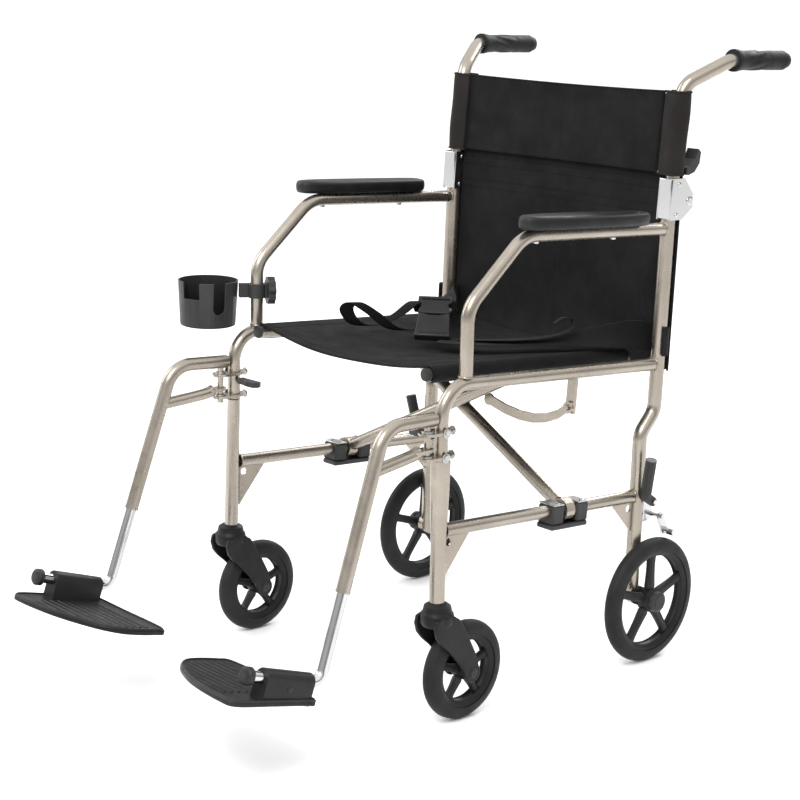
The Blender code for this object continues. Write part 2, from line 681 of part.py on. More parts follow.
def make_foot_plate(s, name, tube_body, corner, forward):
    """Foot plate moulded in one piece with the sleeve that turns on the foot tube."""
    body = pivot("foot_plate_" + name + "_hinge", corner, tube_body)
    up = forward.cross(Vector((1, 0, 0)))
    basis = Matrix.Identity(4)
    for column, vector in enumerate((Vector((1, 0, 0)), forward, up)):
        for row in range(3):
            basis[row][column] = vector[row]
    basis.translation = corner
    start, length = 0.0200, 0.0860
    sleeve_outline = (arc((0, 0), 0.0135, 0, 180, 6) + [(-0.0135, -0.0360), (0.0135, -0.0360)])
    stand = Matrix(((1, 0, 0, 0), (0, 0, 1, start + length / 2), (0, 1, 0, 0), (0, 0, 0, 1)))
    sleeve = plates([sleeve_outline], length, basis @ stand)
    sleeve = to_mesh(sleeve)
    tread_turn = Matrix.Rotation(-(math.atan2(forward.z, -forward.y) - PLATE_TILT), 4, "X")
    outline = [(0.0120, 0.010), (0.0160, 0.030), (0.0160, 0.150), (-0.0100, 0.160), (-0.0800, 0.1500),
               (-0.1450, 0.1220), (-0.1740, 0.0940), (-0.1800, 0.0700), (-0.1780, 0.0250),
               (-0.1660, 0.0100)]
    flip = [(s * u, v) for u, v in outline]
    plate = plates([flip], 0.0100, basis @ Matrix.Translation((0, 0, -PLATE_DROP - 0.005)) @ tread_turn)
    plate = to_mesh(plate)
    hole = rod(corner - forward * 0.02, corner + forward * 0.20, FOOT_R + 0.0006, 12)
    attach(cut(union(sleeve, plate), hole), "foot_plate_" + name, "black_plastic", body)


# ---------------------------------------------------------------- X-brace
def make_braces(left):
    """Both diagonals with their seat tubes, the crossing bolt, and the right frame's empty."""
    axis = brace_axis()
    body_a = pivot("brace_a_pivot", brace_point(FRAME_X, BRACE_A_Y, 0), left)
    body_b = pivot("brace_b_pivot", brace_point(0, BRACE_B_Y, CROSS_LIFT), body_a)
    right = pivot("right_frame_pivot", brace_point(-FRAME_X, BRACE_B_Y, 0), body_b)
    centre = brace_point(0, (BRACE_A_Y + BRACE_B_Y) / 2, CROSS_LIFT)
    for s, y, body, name in ((1, BRACE_A_Y, body_a, "brace_a"), (-1, BRACE_B_Y, body_b, "brace_b")):
        foot = brace_point(s * FRAME_X, y, 0)
        head = brace_point(-s * SEAT_TUBE_X, y, TOP_LIFT)
        along = (head - foot).normalized()
        brace = tube([foot + along * 0.0165, head], RAIL_R)
        seat_tube = tube([(-s * SEAT_TUBE_X, yy, seat_tube_z(yy)) for yy in SEAT_TUBE_Y], RAIL_R)
        half = 0.0090 if s > 0 else 0.0085
        knuckle = rod(foot - axis * half, foot + axis * half, 0.0168, 16)
        collar = rod(foot - axis * 0.03, foot + axis * 0.03, RAIL_R + 0.0009, 16)
        hole = rod(centre - axis * 0.05, centre + axis * 0.05, 0.0048, 16)
        brace = cut(union(brace, seat_tube, knuckle), collar, hole)
        attach(brace, name, "champagne", body)
    reach = 0.0225
    bolt = rod(centre - axis * (reach + 0.0040), centre + axis * (reach + 0.0040), 0.0042, 12)
    heads = [rod(centre + axis * side * (reach + 0.0005), centre + axis * side * (reach + 0.0055), 0.0080, 6)
             for side in (1, -1)]
    attach(union(bolt, *heads), "cross_bolt", "zinc", body_a)
    return body_a, body_b, right


def make_rail_block(s, name, frame):
    """Saddle block clamped under the lower rail on each side of the brace's knuckle."""
    y = BRACE_A_Y if s > 0 else BRACE_B_Y
    axis = brace_axis()
    foot = brace_point(s * FRAME_X, y, 0)
    up = Vector((1, 0, 0)).cross(axis)
    turn = Matrix.Rotation(math.atan(BRACE_SLOPE), 4, "X")
    cheeks = [block(foot + axis * side * 0.0270 - up * 0.0040, (0.0330, 0.0260, 0.0300), turn, 0.003)
              for side in (1, -1)]
    base = block(foot - up * 0.0225, (0.0330, 0.0800, 0.0080), turn, 0.002)
    bore = rod(foot - axis * 0.06, foot + axis * 0.06, bore_radius(RAIL_R + GAP, 16), 16)
    attach(cut(union(base, *cheeks), bore), "rail_block_" + name, "black_plastic", frame)


def link_pin(s):
    """Where the stabilising link turns under the seat rail, in the link's own plane."""
    y = BRACE_B_Y + LINK_OFFSET if s > 0 else BRACE_A_Y - LINK_OFFSET
    return brace_point(s * LINK_X, y, LINK_LIFT)


def make_link(s, name, frame):
    """Curved flat link from a lug under the seat rail to the opposite brace."""
    axis = brace_axis()
    up = Vector((1, 0, 0)).cross(axis)
    pin = link_pin(s)
    body = pivot("link_" + name + "_pin", pin, frame)
    inner = Vector((-s * 0.163, -0.018))
    dip = Vector((-s * 0.055, -0.050))
    width = 0.0075
    top, base = [], []
    for i in range(7):
        t = i / 6
        spot = 2 * t * (1 - t) * dip + t * t * inner
        top.append((spot.x, spot.y + width))
        base.append((spot.x, spot.y - width))
    place = Matrix.Identity(4)
    for column, vector in enumerate((Vector((1, 0, 0)), up, -axis)):
        for row in range(3):
            place[row][column] = vector[row]
    place.translation = pin
    bar = plates([top + list(reversed(base))], 0.0040, place)
    ends = []
    for spot in (Vector((0, 0)), inner):
        centre = pin + Vector((spot.x, 0, 0)) + up * spot.y
        ends.append(rod(centre - axis * 0.0020, centre + axis * 0.0020, 0.0095, 12))
    hole = rod(pin - axis * 0.01, pin + axis * 0.01, 0.0045, 12)
    attach(cut(union(bar, *ends), hole), "brace_link_" + name, "champagne", body)


# ---------------------------------------------------------------- soft parts
def make_seat(body):
    """Seat sling around both seat tubes."""
    r = RAIL_R + 0.0026
    rows = []
    for y in (SEAT_TUBE_Y[0] + 0.004, 0.12, 0.24, 0.36, SEAT_TUBE_Y[1] - 0.004):
        z = seat_tube_z(y)
        half = [(SEAT_TUBE_X + r * math.cos(a), z + r * math.sin(a))
                for a in (math.radians(d) for d in (-80, -46, -12, 22, 56, 90))]
        sag = [(x, z + r - 0.010 * (1 - (x / SEAT_TUBE_X) ** 2)) for x in (0.12, 0.06, 0.0)]
        right = half + sag
        left = [(-x, zz) for x, zz in reversed(right[:-1])]
        rows.append([(x, y, zz) for x, zz in right + left])
    attach(sheet(rows, 0.0020), "seat_sling", "fabric", body)


def make_back(left):
    """Upper back with a sleeve over each cane, and the lower back between the posts."""
    r = CANE_R + 0.0038
    rows = []
    rise = (CANE_BEND[1] - CANE_FOOT[0]) / (CANE_BEND[2] - CANE_FOOT[1])
    for z in (0.782, 0.822, 0.862, 0.893):
        y = CANE_FOOT[0] + rise * (z - CANE_FOOT[1])
        right = [(FRAME_X - 0.008, y + r)]
        right += [(FRAME_X + r * math.cos(a), y + r * math.sin(a))
                  for a in (math.radians(d) for d in (90, 40, 0, -40, -90))]
        right += [(0.12, y - r + 0.006), (0.0, y - r + 0.009)]
        left_half = [(-x, yy) for x, yy in reversed(right[:-1])]
        rows.append([(x, yy, z) for x, yy in right + left_half])
    attach(sheet(rows, 0.0020), "back_upper", "fabric", left)
    rows = []
    half = 0.2200
    for z in (0.496, 0.590, 0.684, 0.776):
        y = post_y(z) + 0.006
        rows.append([(x, y + 0.006 * (1 - (x / half) ** 2), z) for x in (-half, -half / 2, 0, half / 2, half)])
    attach(sheet(rows, 0.0020), "back_lower", "fabric", left)


def ribbon(stations, width):
    """Webbing through (centre, across) stations."""
    rows = []
    for centre, across in stations:
        centre, across = Vector(centre), Vector(across).normalized()
        rows.append([centre - across * width / 2, centre, centre + across * width / 2])
    return sheet(rows, 0.0018)


def make_belt(left, right, brace):
    """Lap belt: a strap from each back post and the side-release buckle that leans between them."""
    width = 0.048
    near = [((0.2210, 0.4600, 0.5260), (0, 0, 1)), ((0.2020, 0.4150, 0.5280), (-0.3, 0.15, 0.9)),
            ((0.1700, 0.3400, 0.5240), (-0.8, 0.45, 0.25)), ((0.1200, 0.2600, 0.5220), (-0.8, 0.55, 0.05)),
            ((0.0730, 0.1800, 0.5210), (-0.4, 0.9, 0))]
    attach(ribbon(near, width), "belt_left", "webbing", left)
    far = [((-0.2210, 0.4600, 0.5260), (0, 0, 1)), ((-0.1980, 0.4300, 0.5300), (0.3, 0.15, 0.9)),
           ((-0.1300, 0.3600, 0.5350), (0.8, 0.5, 0.2)), ((-0.0600, 0.2750, 0.5550), (0.75, 0.66, 0)),
           ((-0.0130, 0.2270, 0.5790), (0.75, 0.66, 0))]
    attach(ribbon(far, width), "belt_right", "webbing", right)
    along = Vector((-0.5056, 0.5745, 0.6428)).normalized()
    across = along.cross(Vector((0, 0, 1))).normalized()
    turn = Matrix((across, along, across.cross(along))).transposed().to_4x4()
    attach(block(BUCKLE, (0.0460, 0.0800, 0.0150), turn, 0.004), "buckle", "black_plastic", brace)


# ---------------------------------------------------------------- cup holder
def make_cup_holder(right):
    """Cup holder: slotted cup, clamp arm around the right arm tube, and the clamp's knob."""
    height = CUP_HEIGHT
    wall = 0.0025
    low = CUP_CENTRE.z - height / 2
    base = Vector((CUP_CENTRE.x, CUP_CENTRE.y, low))
    profile = [(CUP_R, height), (0.0440, 0.004), (0.0410, 0.0), (0, 0.0), (0, wall), (0.0405, wall),
               (CUP_R - wall, height)]
    cup = lathe_shell(profile, base)
    slots = []
    for direction, wide, deep in ((Vector((0.968, -0.242, 0)), 0.020, 0.050),
                                  (Vector((0.292, -0.957, 0)), 0.030, 0.026)):
        heading = Matrix.Rotation(math.atan2(direction.y, direction.x), 4, "Z")
        centre = base + direction.normalized() * CUP_R
        if deep > 0.04:
            floor_z = height - deep + wide / 2
            slots.append(rod(centre + Vector((0, 0, floor_z)) - direction * 0.02,
                             centre + Vector((0, 0, floor_z)) + direction * 0.02, wide / 2, 12))
        else:
            floor_z = height - deep
        tall = height - floor_z + 0.01
        slots.append(block(centre + Vector((0, 0, floor_z + tall / 2)), (0.040, wide, tall), heading))
    attach(cut(cup, *slots), "cup", "black_plastic", right)

    upright = Vector((-FRAME_X, ARM_FRONT_Y - 0.0005, 0.5667))
    toward = KNOB_DIRECTION
    turn = Matrix.Rotation(math.atan2(toward.y, toward.x), 4, "Z")
    flat = Vector((upright.x - CUP_CENTRE.x, upright.y - CUP_CENTRE.y, 0))
    reach = flat.length - CUP_R - GAP - 0.001
    outer = 0.0142
    arm = block(upright - flat.normalized() * (reach / 2 + 0.003), (reach - 0.006, 0.010, 0.022), turn)
    ring = rod(upright - Vector((0, 0, 0.011)), upright + Vector((0, 0, 0.011)), outer, 20)
    lobe = block(upright + toward * 0.0125, (0.006, 0.016, 0.022), turn)
    bore = rod(upright - Vector((0, 0, 0.03)), upright + Vector((0, 0, 0.03)),
               bore_radius(RAIL_R + GAP, 16), 16)
    attach(cut(union(ring, arm, lobe), bore), "cup_clamp", "black_plastic", right)
    knob_foot = upright + toward * (0.0155 + GAP)
    body = pivot("cup_knob_axis", knob_foot, right)
    lobes = []
    for i in range(40):
        a = 2 * math.pi * i / 40
        r = 0.0213 + 0.0012 * math.cos(10 * a)
        lobes.append((r * math.cos(a), r * math.sin(a)))
    place = Matrix.Translation(knob_foot + toward * 0.00575)
    place = place @ Vector((0, 0, 1)).rotation_difference(toward).to_matrix().to_4x4()
    attach(plates([lobes], 0.0115, place), "cup_knob", "black_plastic", body)


def lathe_shell(profile, base):
    """A cup turned from a closed profile that starts and ends on its rim."""
    bm = bmesh.new()
    spots = [bm.verts.new((radius, 0, z)) for radius, z in profile]
    for i in range(len(spots)):
        if profile[i][0] == 0 and profile[(i + 1) % len(spots)][0] == 0:
            continue
        bm.edges.new((spots[i], spots[(i + 1) % len(spots)]))
    obj = mesh_object("cup", bm)
    screw = obj.modifiers.new("turn", "SCREW")
    screw.steps = 32
    screw.render_steps = 32
    screw.use_merge_vertices = True
    screw.merge_threshold = 0.00001
    frozen = to_mesh(obj)
    frozen.data.transform(Matrix.Translation(base))
    return frozen


# ---------------------------------------------------------------- assembly
def make_side(s, frame):
    name = SIDE_NAMES[s]
    make_seat_rail(s, name, frame)
    make_leg(s, name, frame)
    make_lower_rail(s, name, frame)
    make_arm(s, name, frame)
    make_back_post(s, name, frame)
    make_hinge(s, name, frame)
    make_cane(s, name, frame)
    make_rear_wheel(s, name, frame)
    make_caster(s, name, frame)
    make_brake(s, name, frame)
    make_hanger(s, name, frame)
    make_rail_block(s, name, frame)
    if s > 0:
        make_link(s, name, frame)


def centre_on_floor():
    """Move the chair so that the origin is the bottom centre of its box."""
    bpy.context.view_layer.update()
    graph = bpy.context.evaluated_depsgraph_get()
    spots = []
    for obj in PARTS.objects:
        if obj.type == "MESH":
            mesh = obj.evaluated_get(graph).to_mesh()
            spots += [obj.matrix_world @ v.co for v in mesh.vertices]
    low = [min(p[i] for p in spots) for i in range(3)]
    high = [max(p[i] for p in spots) for i in range(3)]
    ORIGIN.location = (-(low[0] + high[0]) / 2, -(low[1] + high[1]) / 2, -low[2])
    bpy.context.view_layer.update()


def main():
    start_scene()
    left = pivot("left_frame", (FRAME_X, 0, 0))
    body_a, body_b, right = make_braces(left)
    make_side(1, left)
    make_side(-1, right)
    make_seat(body_b)
    make_back(left)
    make_belt(left, right, body_b)
    make_cup_holder(right)
    centre_on_floor()


main()
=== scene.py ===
"""Looks of the folding transport wheelchair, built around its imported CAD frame. Metres, +Z up."""
import json
import math

import bpy
from mathutils import Matrix, Vector

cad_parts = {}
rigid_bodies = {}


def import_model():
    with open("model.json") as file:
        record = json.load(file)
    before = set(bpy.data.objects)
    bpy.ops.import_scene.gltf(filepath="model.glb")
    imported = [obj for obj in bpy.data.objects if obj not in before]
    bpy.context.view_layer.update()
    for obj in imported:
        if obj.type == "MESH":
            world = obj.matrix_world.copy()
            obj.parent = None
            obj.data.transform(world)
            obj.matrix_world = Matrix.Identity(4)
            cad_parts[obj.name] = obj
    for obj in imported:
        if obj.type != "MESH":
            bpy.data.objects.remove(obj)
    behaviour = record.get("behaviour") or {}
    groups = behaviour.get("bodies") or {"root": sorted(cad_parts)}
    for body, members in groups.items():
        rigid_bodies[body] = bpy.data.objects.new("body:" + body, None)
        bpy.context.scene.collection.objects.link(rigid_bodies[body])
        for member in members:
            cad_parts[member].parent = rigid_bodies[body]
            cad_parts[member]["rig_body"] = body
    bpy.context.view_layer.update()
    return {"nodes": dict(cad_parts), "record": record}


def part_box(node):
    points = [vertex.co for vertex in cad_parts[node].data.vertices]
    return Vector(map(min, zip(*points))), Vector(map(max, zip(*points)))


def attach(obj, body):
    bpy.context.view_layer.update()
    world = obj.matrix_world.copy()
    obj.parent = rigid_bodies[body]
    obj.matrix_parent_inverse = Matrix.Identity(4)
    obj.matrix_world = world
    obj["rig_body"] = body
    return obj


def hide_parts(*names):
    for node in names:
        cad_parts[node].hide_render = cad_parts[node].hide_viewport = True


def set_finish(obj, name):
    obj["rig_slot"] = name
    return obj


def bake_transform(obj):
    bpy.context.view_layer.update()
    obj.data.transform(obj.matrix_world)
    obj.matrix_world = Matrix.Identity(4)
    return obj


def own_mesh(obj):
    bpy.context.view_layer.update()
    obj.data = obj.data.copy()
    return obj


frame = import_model()

# The chair is laid out with y = 0 on the caster stems; SHIFT moves that layout into the frame.
SHIFT = Vector((0.0232693, -0.151078, 0.0))
FRAME_X = 0.235                      # a side frame's tubes, from the chair's middle
SIDES = {1: "left", -1: "right"}     # +X is the occupant's left
FRAME_BODY = {1: "left_frame", -1: "right_frame"}
RIGHT = Vector((1, 0, 0))
NODES = frame["nodes"]


def at(x, y, z):
    return Vector((x, y, z)) + SHIFT


# ---------------------------------------------------------------- materials
def principled(name, colour, roughness, metallic=0.0):
    made = bpy.data.materials.new(name)
    made.use_nodes = True
    shader = made.node_tree.nodes["Principled BSDF"]
    shader.inputs["Base Color"].default_value = (*colour, 1.0)
    shader.inputs["Roughness"].default_value = roughness
    shader.inputs["Metallic"].default_value = metallic
    return made, made.node_tree, shader


def noise(tree, scale, detail=4.0):
    """A noise texture in object coordinates."""
    place = tree.nodes.new("ShaderNodeTexCoord")
    tex = tree.nodes.new("ShaderNodeTexNoise")
    tex.inputs["Scale"].default_value = scale
    tex.inputs["Detail"].default_value = detail
    tree.links.new(place.outputs["Object"], tex.inputs["Vector"])
    return tex.outputs["Fac"]


def ramp(tree, source, low, high, positions=(0.3, 0.7)):
    """Colours or greys between two values of a factor."""
    node = tree.nodes.new("ShaderNodeValToRGB")
    for element, place, value in zip(node.color_ramp.elements, positions, (low, high)):
        element.position = place
        element.color = (*value, 1.0) if hasattr(value, "__len__") else (value, value, value, 1.0)
    tree.links.new(source, node.inputs["Fac"])
    return node.outputs["Color"]


def bump(tree, shader, height, strength, distance=0.001):
    node = tree.nodes.new("ShaderNodeBump")
    node.inputs["Strength"].default_value = strength
    node.inputs["Distance"].default_value = distance
    tree.links.new(height, node.inputs["Height"])
    tree.links.new(node.outputs["Normal"], shader.inputs["Normal"])


def metal(name, low, high, rough, grain, metallic=1.0):
    """Metal whose colour and roughness drift a little, with fine grain."""
    made, tree, shader = principled(name, high, sum(rough) / 2, metallic)
    tree.links.new(ramp(tree, noise(tree, 9.0), low, high), shader.inputs["Base Color"])
    tree.links.new(ramp(tree, noise(tree, 60.0), rough[0], rough[1]), shader.inputs["Roughness"])
    bump(tree, shader, noise(tree, 240.0, 1.0), grain, 0.0004)
    return made


MIX_A, MIX_B, MIX_RESULT = 6, 7, 2   # the colour sockets of a mix node
WAVE_PERIOD = 0.314                  # metres between the bands of a wave texture whose scale is 1


def plastic(name, low, high, rough, grain_scale, grain, worn=None):
    """Moulded plastic or rubber: fine grain, cloudy roughness, rubbed edges."""
    made, tree, shader = principled(name, high, sum(rough) / 2)
    shader.inputs["Specular IOR Level"].default_value = 0.20
    colour = ramp(tree, noise(tree, 25.0), low, high)
    if worn:
        geometry = tree.nodes.new("ShaderNodeNewGeometry")
        edge = ramp(tree, geometry.outputs["Pointiness"], 0.0, 1.0, (0.52, 0.60))
        mix = tree.nodes.new("ShaderNodeMix")
        mix.data_type = "RGBA"
        mix.inputs[MIX_B].default_value = (*worn, 1.0)
        tree.links.new(edge, mix.inputs["Factor"])
        tree.links.new(colour, mix.inputs[MIX_A])
        colour = mix.outputs[MIX_RESULT]
    tree.links.new(colour, shader.inputs["Base Color"])
    tree.links.new(ramp(tree, noise(tree, 45.0), rough[0], rough[1]), shader.inputs["Roughness"])
    bump(tree, shader, noise(tree, grain_scale, 3.0), grain, 0.0006)
    return made


def woven(name, low, high, pitch, sheen=0.03, rough=0.75, strength=0.5):
    """Cloth with crossing yarns, dusty colour drift and a soft sheen."""
    made, tree, shader = principled(name, high, rough)
    shader.inputs["Specular IOR Level"].default_value = 0.10
    shader.inputs["Sheen Weight"].default_value = sheen
    shader.inputs["Sheen Roughness"].default_value = 0.5
    place = tree.nodes.new("ShaderNodeTexCoord")
    waves = []
    for axis in "XYZ":
        wave = tree.nodes.new("ShaderNodeTexWave")
        wave.wave_type = "BANDS"
        wave.bands_direction = axis
        wave.inputs["Scale"].default_value = WAVE_PERIOD / pitch
        wave.inputs["Distortion"].default_value = 0.4
        wave.inputs["Detail"].default_value = 1.0
        tree.links.new(place.outputs["Object"], wave.inputs["Vector"])
        waves.append(wave.outputs["Fac"])
    height = waves[0]
    for other in waves[1:]:
        add = tree.nodes.new("ShaderNodeMath")
        add.operation = "ADD"
        tree.links.new(height, add.inputs[0])
        tree.links.new(other, add.inputs[1])
        height = add.outputs[0]
    tree.links.new(ramp(tree, noise(tree, 14.0), low, high), shader.inputs["Base Color"])
    patchy = ramp(tree, noise(tree, 30.0), rough - 0.1, rough + 0.12)
    tree.links.new(patchy, shader.inputs["Roughness"])
    bump(tree, shader, height, strength, 0.0005)
    return made


MAT = {
    "champagne": metal("champagne_paint", (0.31, 0.275, 0.230), (0.39, 0.350, 0.300), (0.24, 0.34), 0.010,
                       0.90),
    "chrome": metal("bright_chrome", (0.52, 0.52, 0.53), (0.62, 0.62, 0.62), (0.08, 0.18), 0.004),
    "zinc": metal("zinc_plate", (0.44, 0.44, 0.43), (0.55, 0.55, 0.53), (0.22, 0.36), 0.012),
    "black_plastic": plastic("black_plastic", (0.006, 0.006, 0.0065), (0.012, 0.012, 0.0125), (0.34, 0.50),
                             1500.0, 0.10, (0.035, 0.035, 0.035)),
    "grip_rubber": plastic("grip_rubber", (0.006, 0.006, 0.0065), (0.013, 0.013, 0.0135), (0.48, 0.66),
                           1100.0, 0.18),
    "tyre": plastic("tyre_rubber", (0.008, 0.008, 0.0085), (0.017, 0.0165, 0.0165), (0.46, 0.64), 800.0,
                    0.16, (0.045, 0.045, 0.044)),
    "fabric": woven("nylon_cloth", (0.0035, 0.0033, 0.0036), (0.009, 0.0085, 0.009), 0.0012),
    "sleeve": woven("nylon_sleeve", (0.011, 0.0092, 0.0088), (0.020, 0.017, 0.0165), 0.0012),
    "webbing": woven("belt_webbing", (0.004, 0.004, 0.0045), (0.010, 0.010, 0.0105), 0.0020, 0.05, 0.8,
                     0.8),
    "stitch": woven("seam_thread", (0.004, 0.004, 0.004), (0.008, 0.008, 0.008), 0.0009),
}
# the record's slot for a material that the record doesn't name
SLOT = {"sleeve": "fabric", "stitch": "fabric"}

slots = {entry["node"]: entry["material_slot"] for entry in frame["record"]["subparts"]}
for node_name, node in NODES.items():
    node.data.materials.clear()
    node.data.materials.append(MAT[slots[node_name]])
    node.data.shade_smooth()
    node.data.set_sharp_from_angle(angle=math.radians(50))


# ---------------------------------------------------------------- mesh helpers
def finish_piece(obj, key, body):
    """Give a new piece its material and slot, and let it ride on a body."""
    bpy.context.scene.collection.objects.link(obj)
    obj.data.materials.append(MAT[key])
    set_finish(obj, SLOT.get(key, key))
    if body:
        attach(obj, body)
    return obj


def mesh(name, verts, faces, key, body, bevel=0.0, subdivide=0, thick=0.0, angle=40):
    """A piece from points and faces, smooth up to an angle, with modifiers for its edges and thickness."""
    data = bpy.data.meshes.new(name)
    data.from_pydata([tuple(v) for v in verts], [], faces)
    data.validate()
    data.shade_smooth()
    data.set_sharp_from_angle(angle=math.radians(angle))
    obj = bpy.data.objects.new(name, data)
    if thick:
        shell = obj.modifiers.new("thickness", "SOLIDIFY")
        shell.thickness = thick
        shell.offset = 0
    if bevel:
        edge = obj.modifiers.new("edges", "BEVEL")
        edge.width = bevel
        edge.segments = 3
        edge.limit_method = "ANGLE"
        edge.angle_limit = math.radians(40)
    if subdivide:
        smooth = obj.modifiers.new("smooth", "SUBSURF")
        smooth.levels = subdivide
        smooth.render_levels = subdivide
    return finish_piece(obj, key, body)


def around(count):
    """Angles of evenly spaced points round a circle."""
    return [2 * math.pi * k / count for k in range(count)]


def facing(axis):
    """The turn that brings +Z onto an axis."""
    return Vector((0, 0, 1)).rotation_difference(Vector(axis)).to_matrix()


def axes(x, y, z, origin=(0, 0, 0)):
    """A placement whose local axes are the three given vectors."""
    place = Matrix((x, y, z)).transposed().to_4x4()
    place.translation = origin
    return place


def loft(rings, base=0):
    """Points and faces of a closed body through rings of equally many points."""
    count = len(rings[0])
    verts = [p for ring in rings for p in ring]
    faces = [(base + i * count + k, base + i * count + (k + 1) % count,
              base + (i + 1) * count + (k + 1) % count, base + (i + 1) * count + k)
             for i in range(len(rings) - 1) for k in range(count)]
    last = base + (len(rings) - 1) * count
    faces.append(tuple(base + k for k in reversed(range(count))))
    faces.append(tuple(last + k for k in range(count)))
    return verts, faces


def mirrored(half):
    """Half an outline and its mirror image in the local X axis."""
    return half + [(x, -y) for x, y in reversed(half)]


def box_outline(half_width, half_height, middle=0.0):
    """A rectangle about a point on the local X axis."""
    left, right = middle - half_width, middle + half_width
    return [(left, -half_height), (right, -half_height), (right, half_height), (left, half_height)]


def rounded(points, radii, steps=8):
    """A path through the points with its inner corners replaced by arcs."""
    points = [Vector(p) for p in points]
    path = [points[0]]
    for i, radius in zip(range(1, len(points) - 1), radii):
        corner = points[i]
        to_last = (points[i - 1] - corner).normalized()
        to_next = (points[i + 1] - corner).normalized()
        half = to_last.angle(to_next) / 2
        setback = radius / math.tan(half)
        centre = corner + (to_last + to_next).normalized() * (radius / math.sin(half))
        start = (corner + to_last * setback - centre).normalized()
        end = (corner + to_next * setback - centre).normalized()
        path += [centre + start.slerp(end, k / steps) * radius for k in range(steps + 1)]
    path.append(points[-1])
    return path


def tube(name, points, radius, key, body, sides=10, cyclic=False):
    """A round bar along a path, as a bevelled curve."""
    curve = bpy.data.curves.new(name, "CURVE")
    curve.dimensions = "3D"
    curve.bevel_depth = radius
    curve.bevel_resolution = sides
    curve.use_fill_caps = True
    spline = curve.splines.new("POLY")
    spline.points.add(len(points) - 1)
    for spot, place in zip(spline.points, points):
        spot.co = (*place, 1.0)
    spline.use_cyclic_u = cyclic
    spline.use_smooth = True
    return finish_piece(bpy.data.objects.new(name, curve), key, body)


def turned(name, profile, centre, axis, key, body, steps=64):
    """A closed (radius, height) profile turned about an axis."""
    turn = facing(axis)
    verts = [turn @ Vector((r * math.cos(a), r * math.sin(a), h)) + Vector(centre)
             for a in around(steps) for r, h in profile]
    faces = []
    count = len(profile)
    for k in range(steps):
        for i in range(count):
            a, b = k * count + i, k * count + (i + 1) % count
            c, d = ((k + 1) % steps) * count + (i + 1) % count, ((k + 1) % steps) * count + i
            faces.append((a, d, c, b))
    return mesh(name, verts, faces, key, body)


PINHOLE = 0.0001                     # radius left open where a turned profile meets its axis


def disc(name, centre, axis, radius, height, key, body, dome=0.3, steps=24):
    """A round head or cap standing on a face, with a soft rim and a slight dome."""
    soft = min(radius, height) * dome
    shoulder = (radius - 0.3 * soft, height - 0.3 * soft)
    profile = [(PINHOLE, 0), (radius, 0), (radius, height - soft), shoulder, (radius - soft, height),
               (PINHOLE, height * 1.02)]
    return turned(name, profile, centre, axis, key, body, steps)


def hexagon(name, centre, axis, radius, height, key, body):
    """A bolt head or nut with a washer under it."""
    under = Vector(centre) - Vector(axis) * 0.0002
    disc(name + "_washer", under, axis, radius * 1.35, 0.0012, key, body, 0.2)
    profile = [(PINHOLE, 0), (radius, 0), (radius, height * 0.8), (radius * 0.88, height), (PINHOLE, height)]
    return turned(name, profile, centre, axis, key, body, 6)


def plate(name, outline, place, thickness, key, body, bevel=0.0008):
    """A flat outline in the local XY plane, given a thickness and soft edges."""
    n = len(outline)
    verts = [place @ Vector((u, v, side * thickness / 2)) for side in (-1, 1) for u, v in outline]
    faces = [tuple(reversed(range(n))), tuple(range(n, 2 * n))]
    faces += [(i, (i + 1) % n, n + (i + 1) % n, n + i) for i in range(n)]
    if place.to_3x3().determinant() < 0:
        faces = [tuple(reversed(f)) for f in faces]
    return mesh(name, verts, faces, key, body, bevel)


def ribbon(name, centres, acrosses, width, key, body, thick=0.0016):
    """Webbing through centre points, with a width direction at each."""
    rows = [[Vector(c) + Vector(a).normalized() * width * t for t in (-0.5, -0.25, 0.0, 0.25, 0.5)]
            for c, a in zip(centres, acrosses)]
    return cloth(name, rows, key, body, thick)


def cloth(name, rows, key, body, thick):
    """A smooth sheet through rows of points, with a thickness."""
    m = len(rows[0])
    verts = [p for row in rows for p in row]
    faces = [(i * m + j, i * m + j + 1, (i + 1) * m + j + 1, (i + 1) * m + j)
             for i in range(len(rows) - 1) for j in range(m - 1)]
    return mesh(name, verts, faces, key, body, subdivide=1, thick=thick, angle=180)


def spline_through(points, steps=8):
    """Catmull-Rom points through a list of places."""
    pts = [Vector(p) for p in points]
    pts = [pts[0] * 2 - pts[1]] + pts + [pts[-1] * 2 - pts[-2]]
    path = []
    for i in range(1, len(pts) - 2):
        a, b, c, d = pts[i - 1:i + 3]
        for k in range(steps):
            t = k / steps
            path.append(0.5 * ((2 * b) + (c - a) * t + (2 * a - 5 * b + 4 * c - d) * t ** 2
                               + (3 * b - a - 3 * c + d) * t ** 3))
    path.append(pts[-2])
    return path


# ---------------------------------------------------------------- tubes
SLOPE = -0.056                       # fall of the rails and the seat towards the back
RAIL_Z, LOWER_Z, SEAT_Z = 0.5052, 0.2942, 0.5117     # tube centres where y is 0
SEAT_X = 0.189                       # the brace's seat tubes, from the chair's middle
RAIL_R, POST_R, CANE_R = 0.0099, 0.0114, 0.0109      # skins stand just proud of the CAD tubes
WELD_R, BEAD_R = 0.0102, 0.0014
ARM_FOOT_Y = 0.0444                  # where the arm tube stands on the seat rail
ARM_BEND = (0.1513, 0.7037)          # pairs are (y, z) in the layout
ARM_SLOPE = -0.0386
POST_FOOT = (0.4400, 0.1003)
BEND_LOW, BEND_HIGH = (0.4380, 0.3703), (0.4686, 0.4036)
POST_TOP = (0.4737, 0.7133)
CANE_LOW, CANE_HIGH = (0.4750, 0.7158), (0.4885, 0.9087)
HINGE_PIN = (0.5050, 0.7336)
HUB = (0.4535, 0.1015)
CASTER_X = 0.2400
CASTER_HUB = (0.0551, 0.0750)


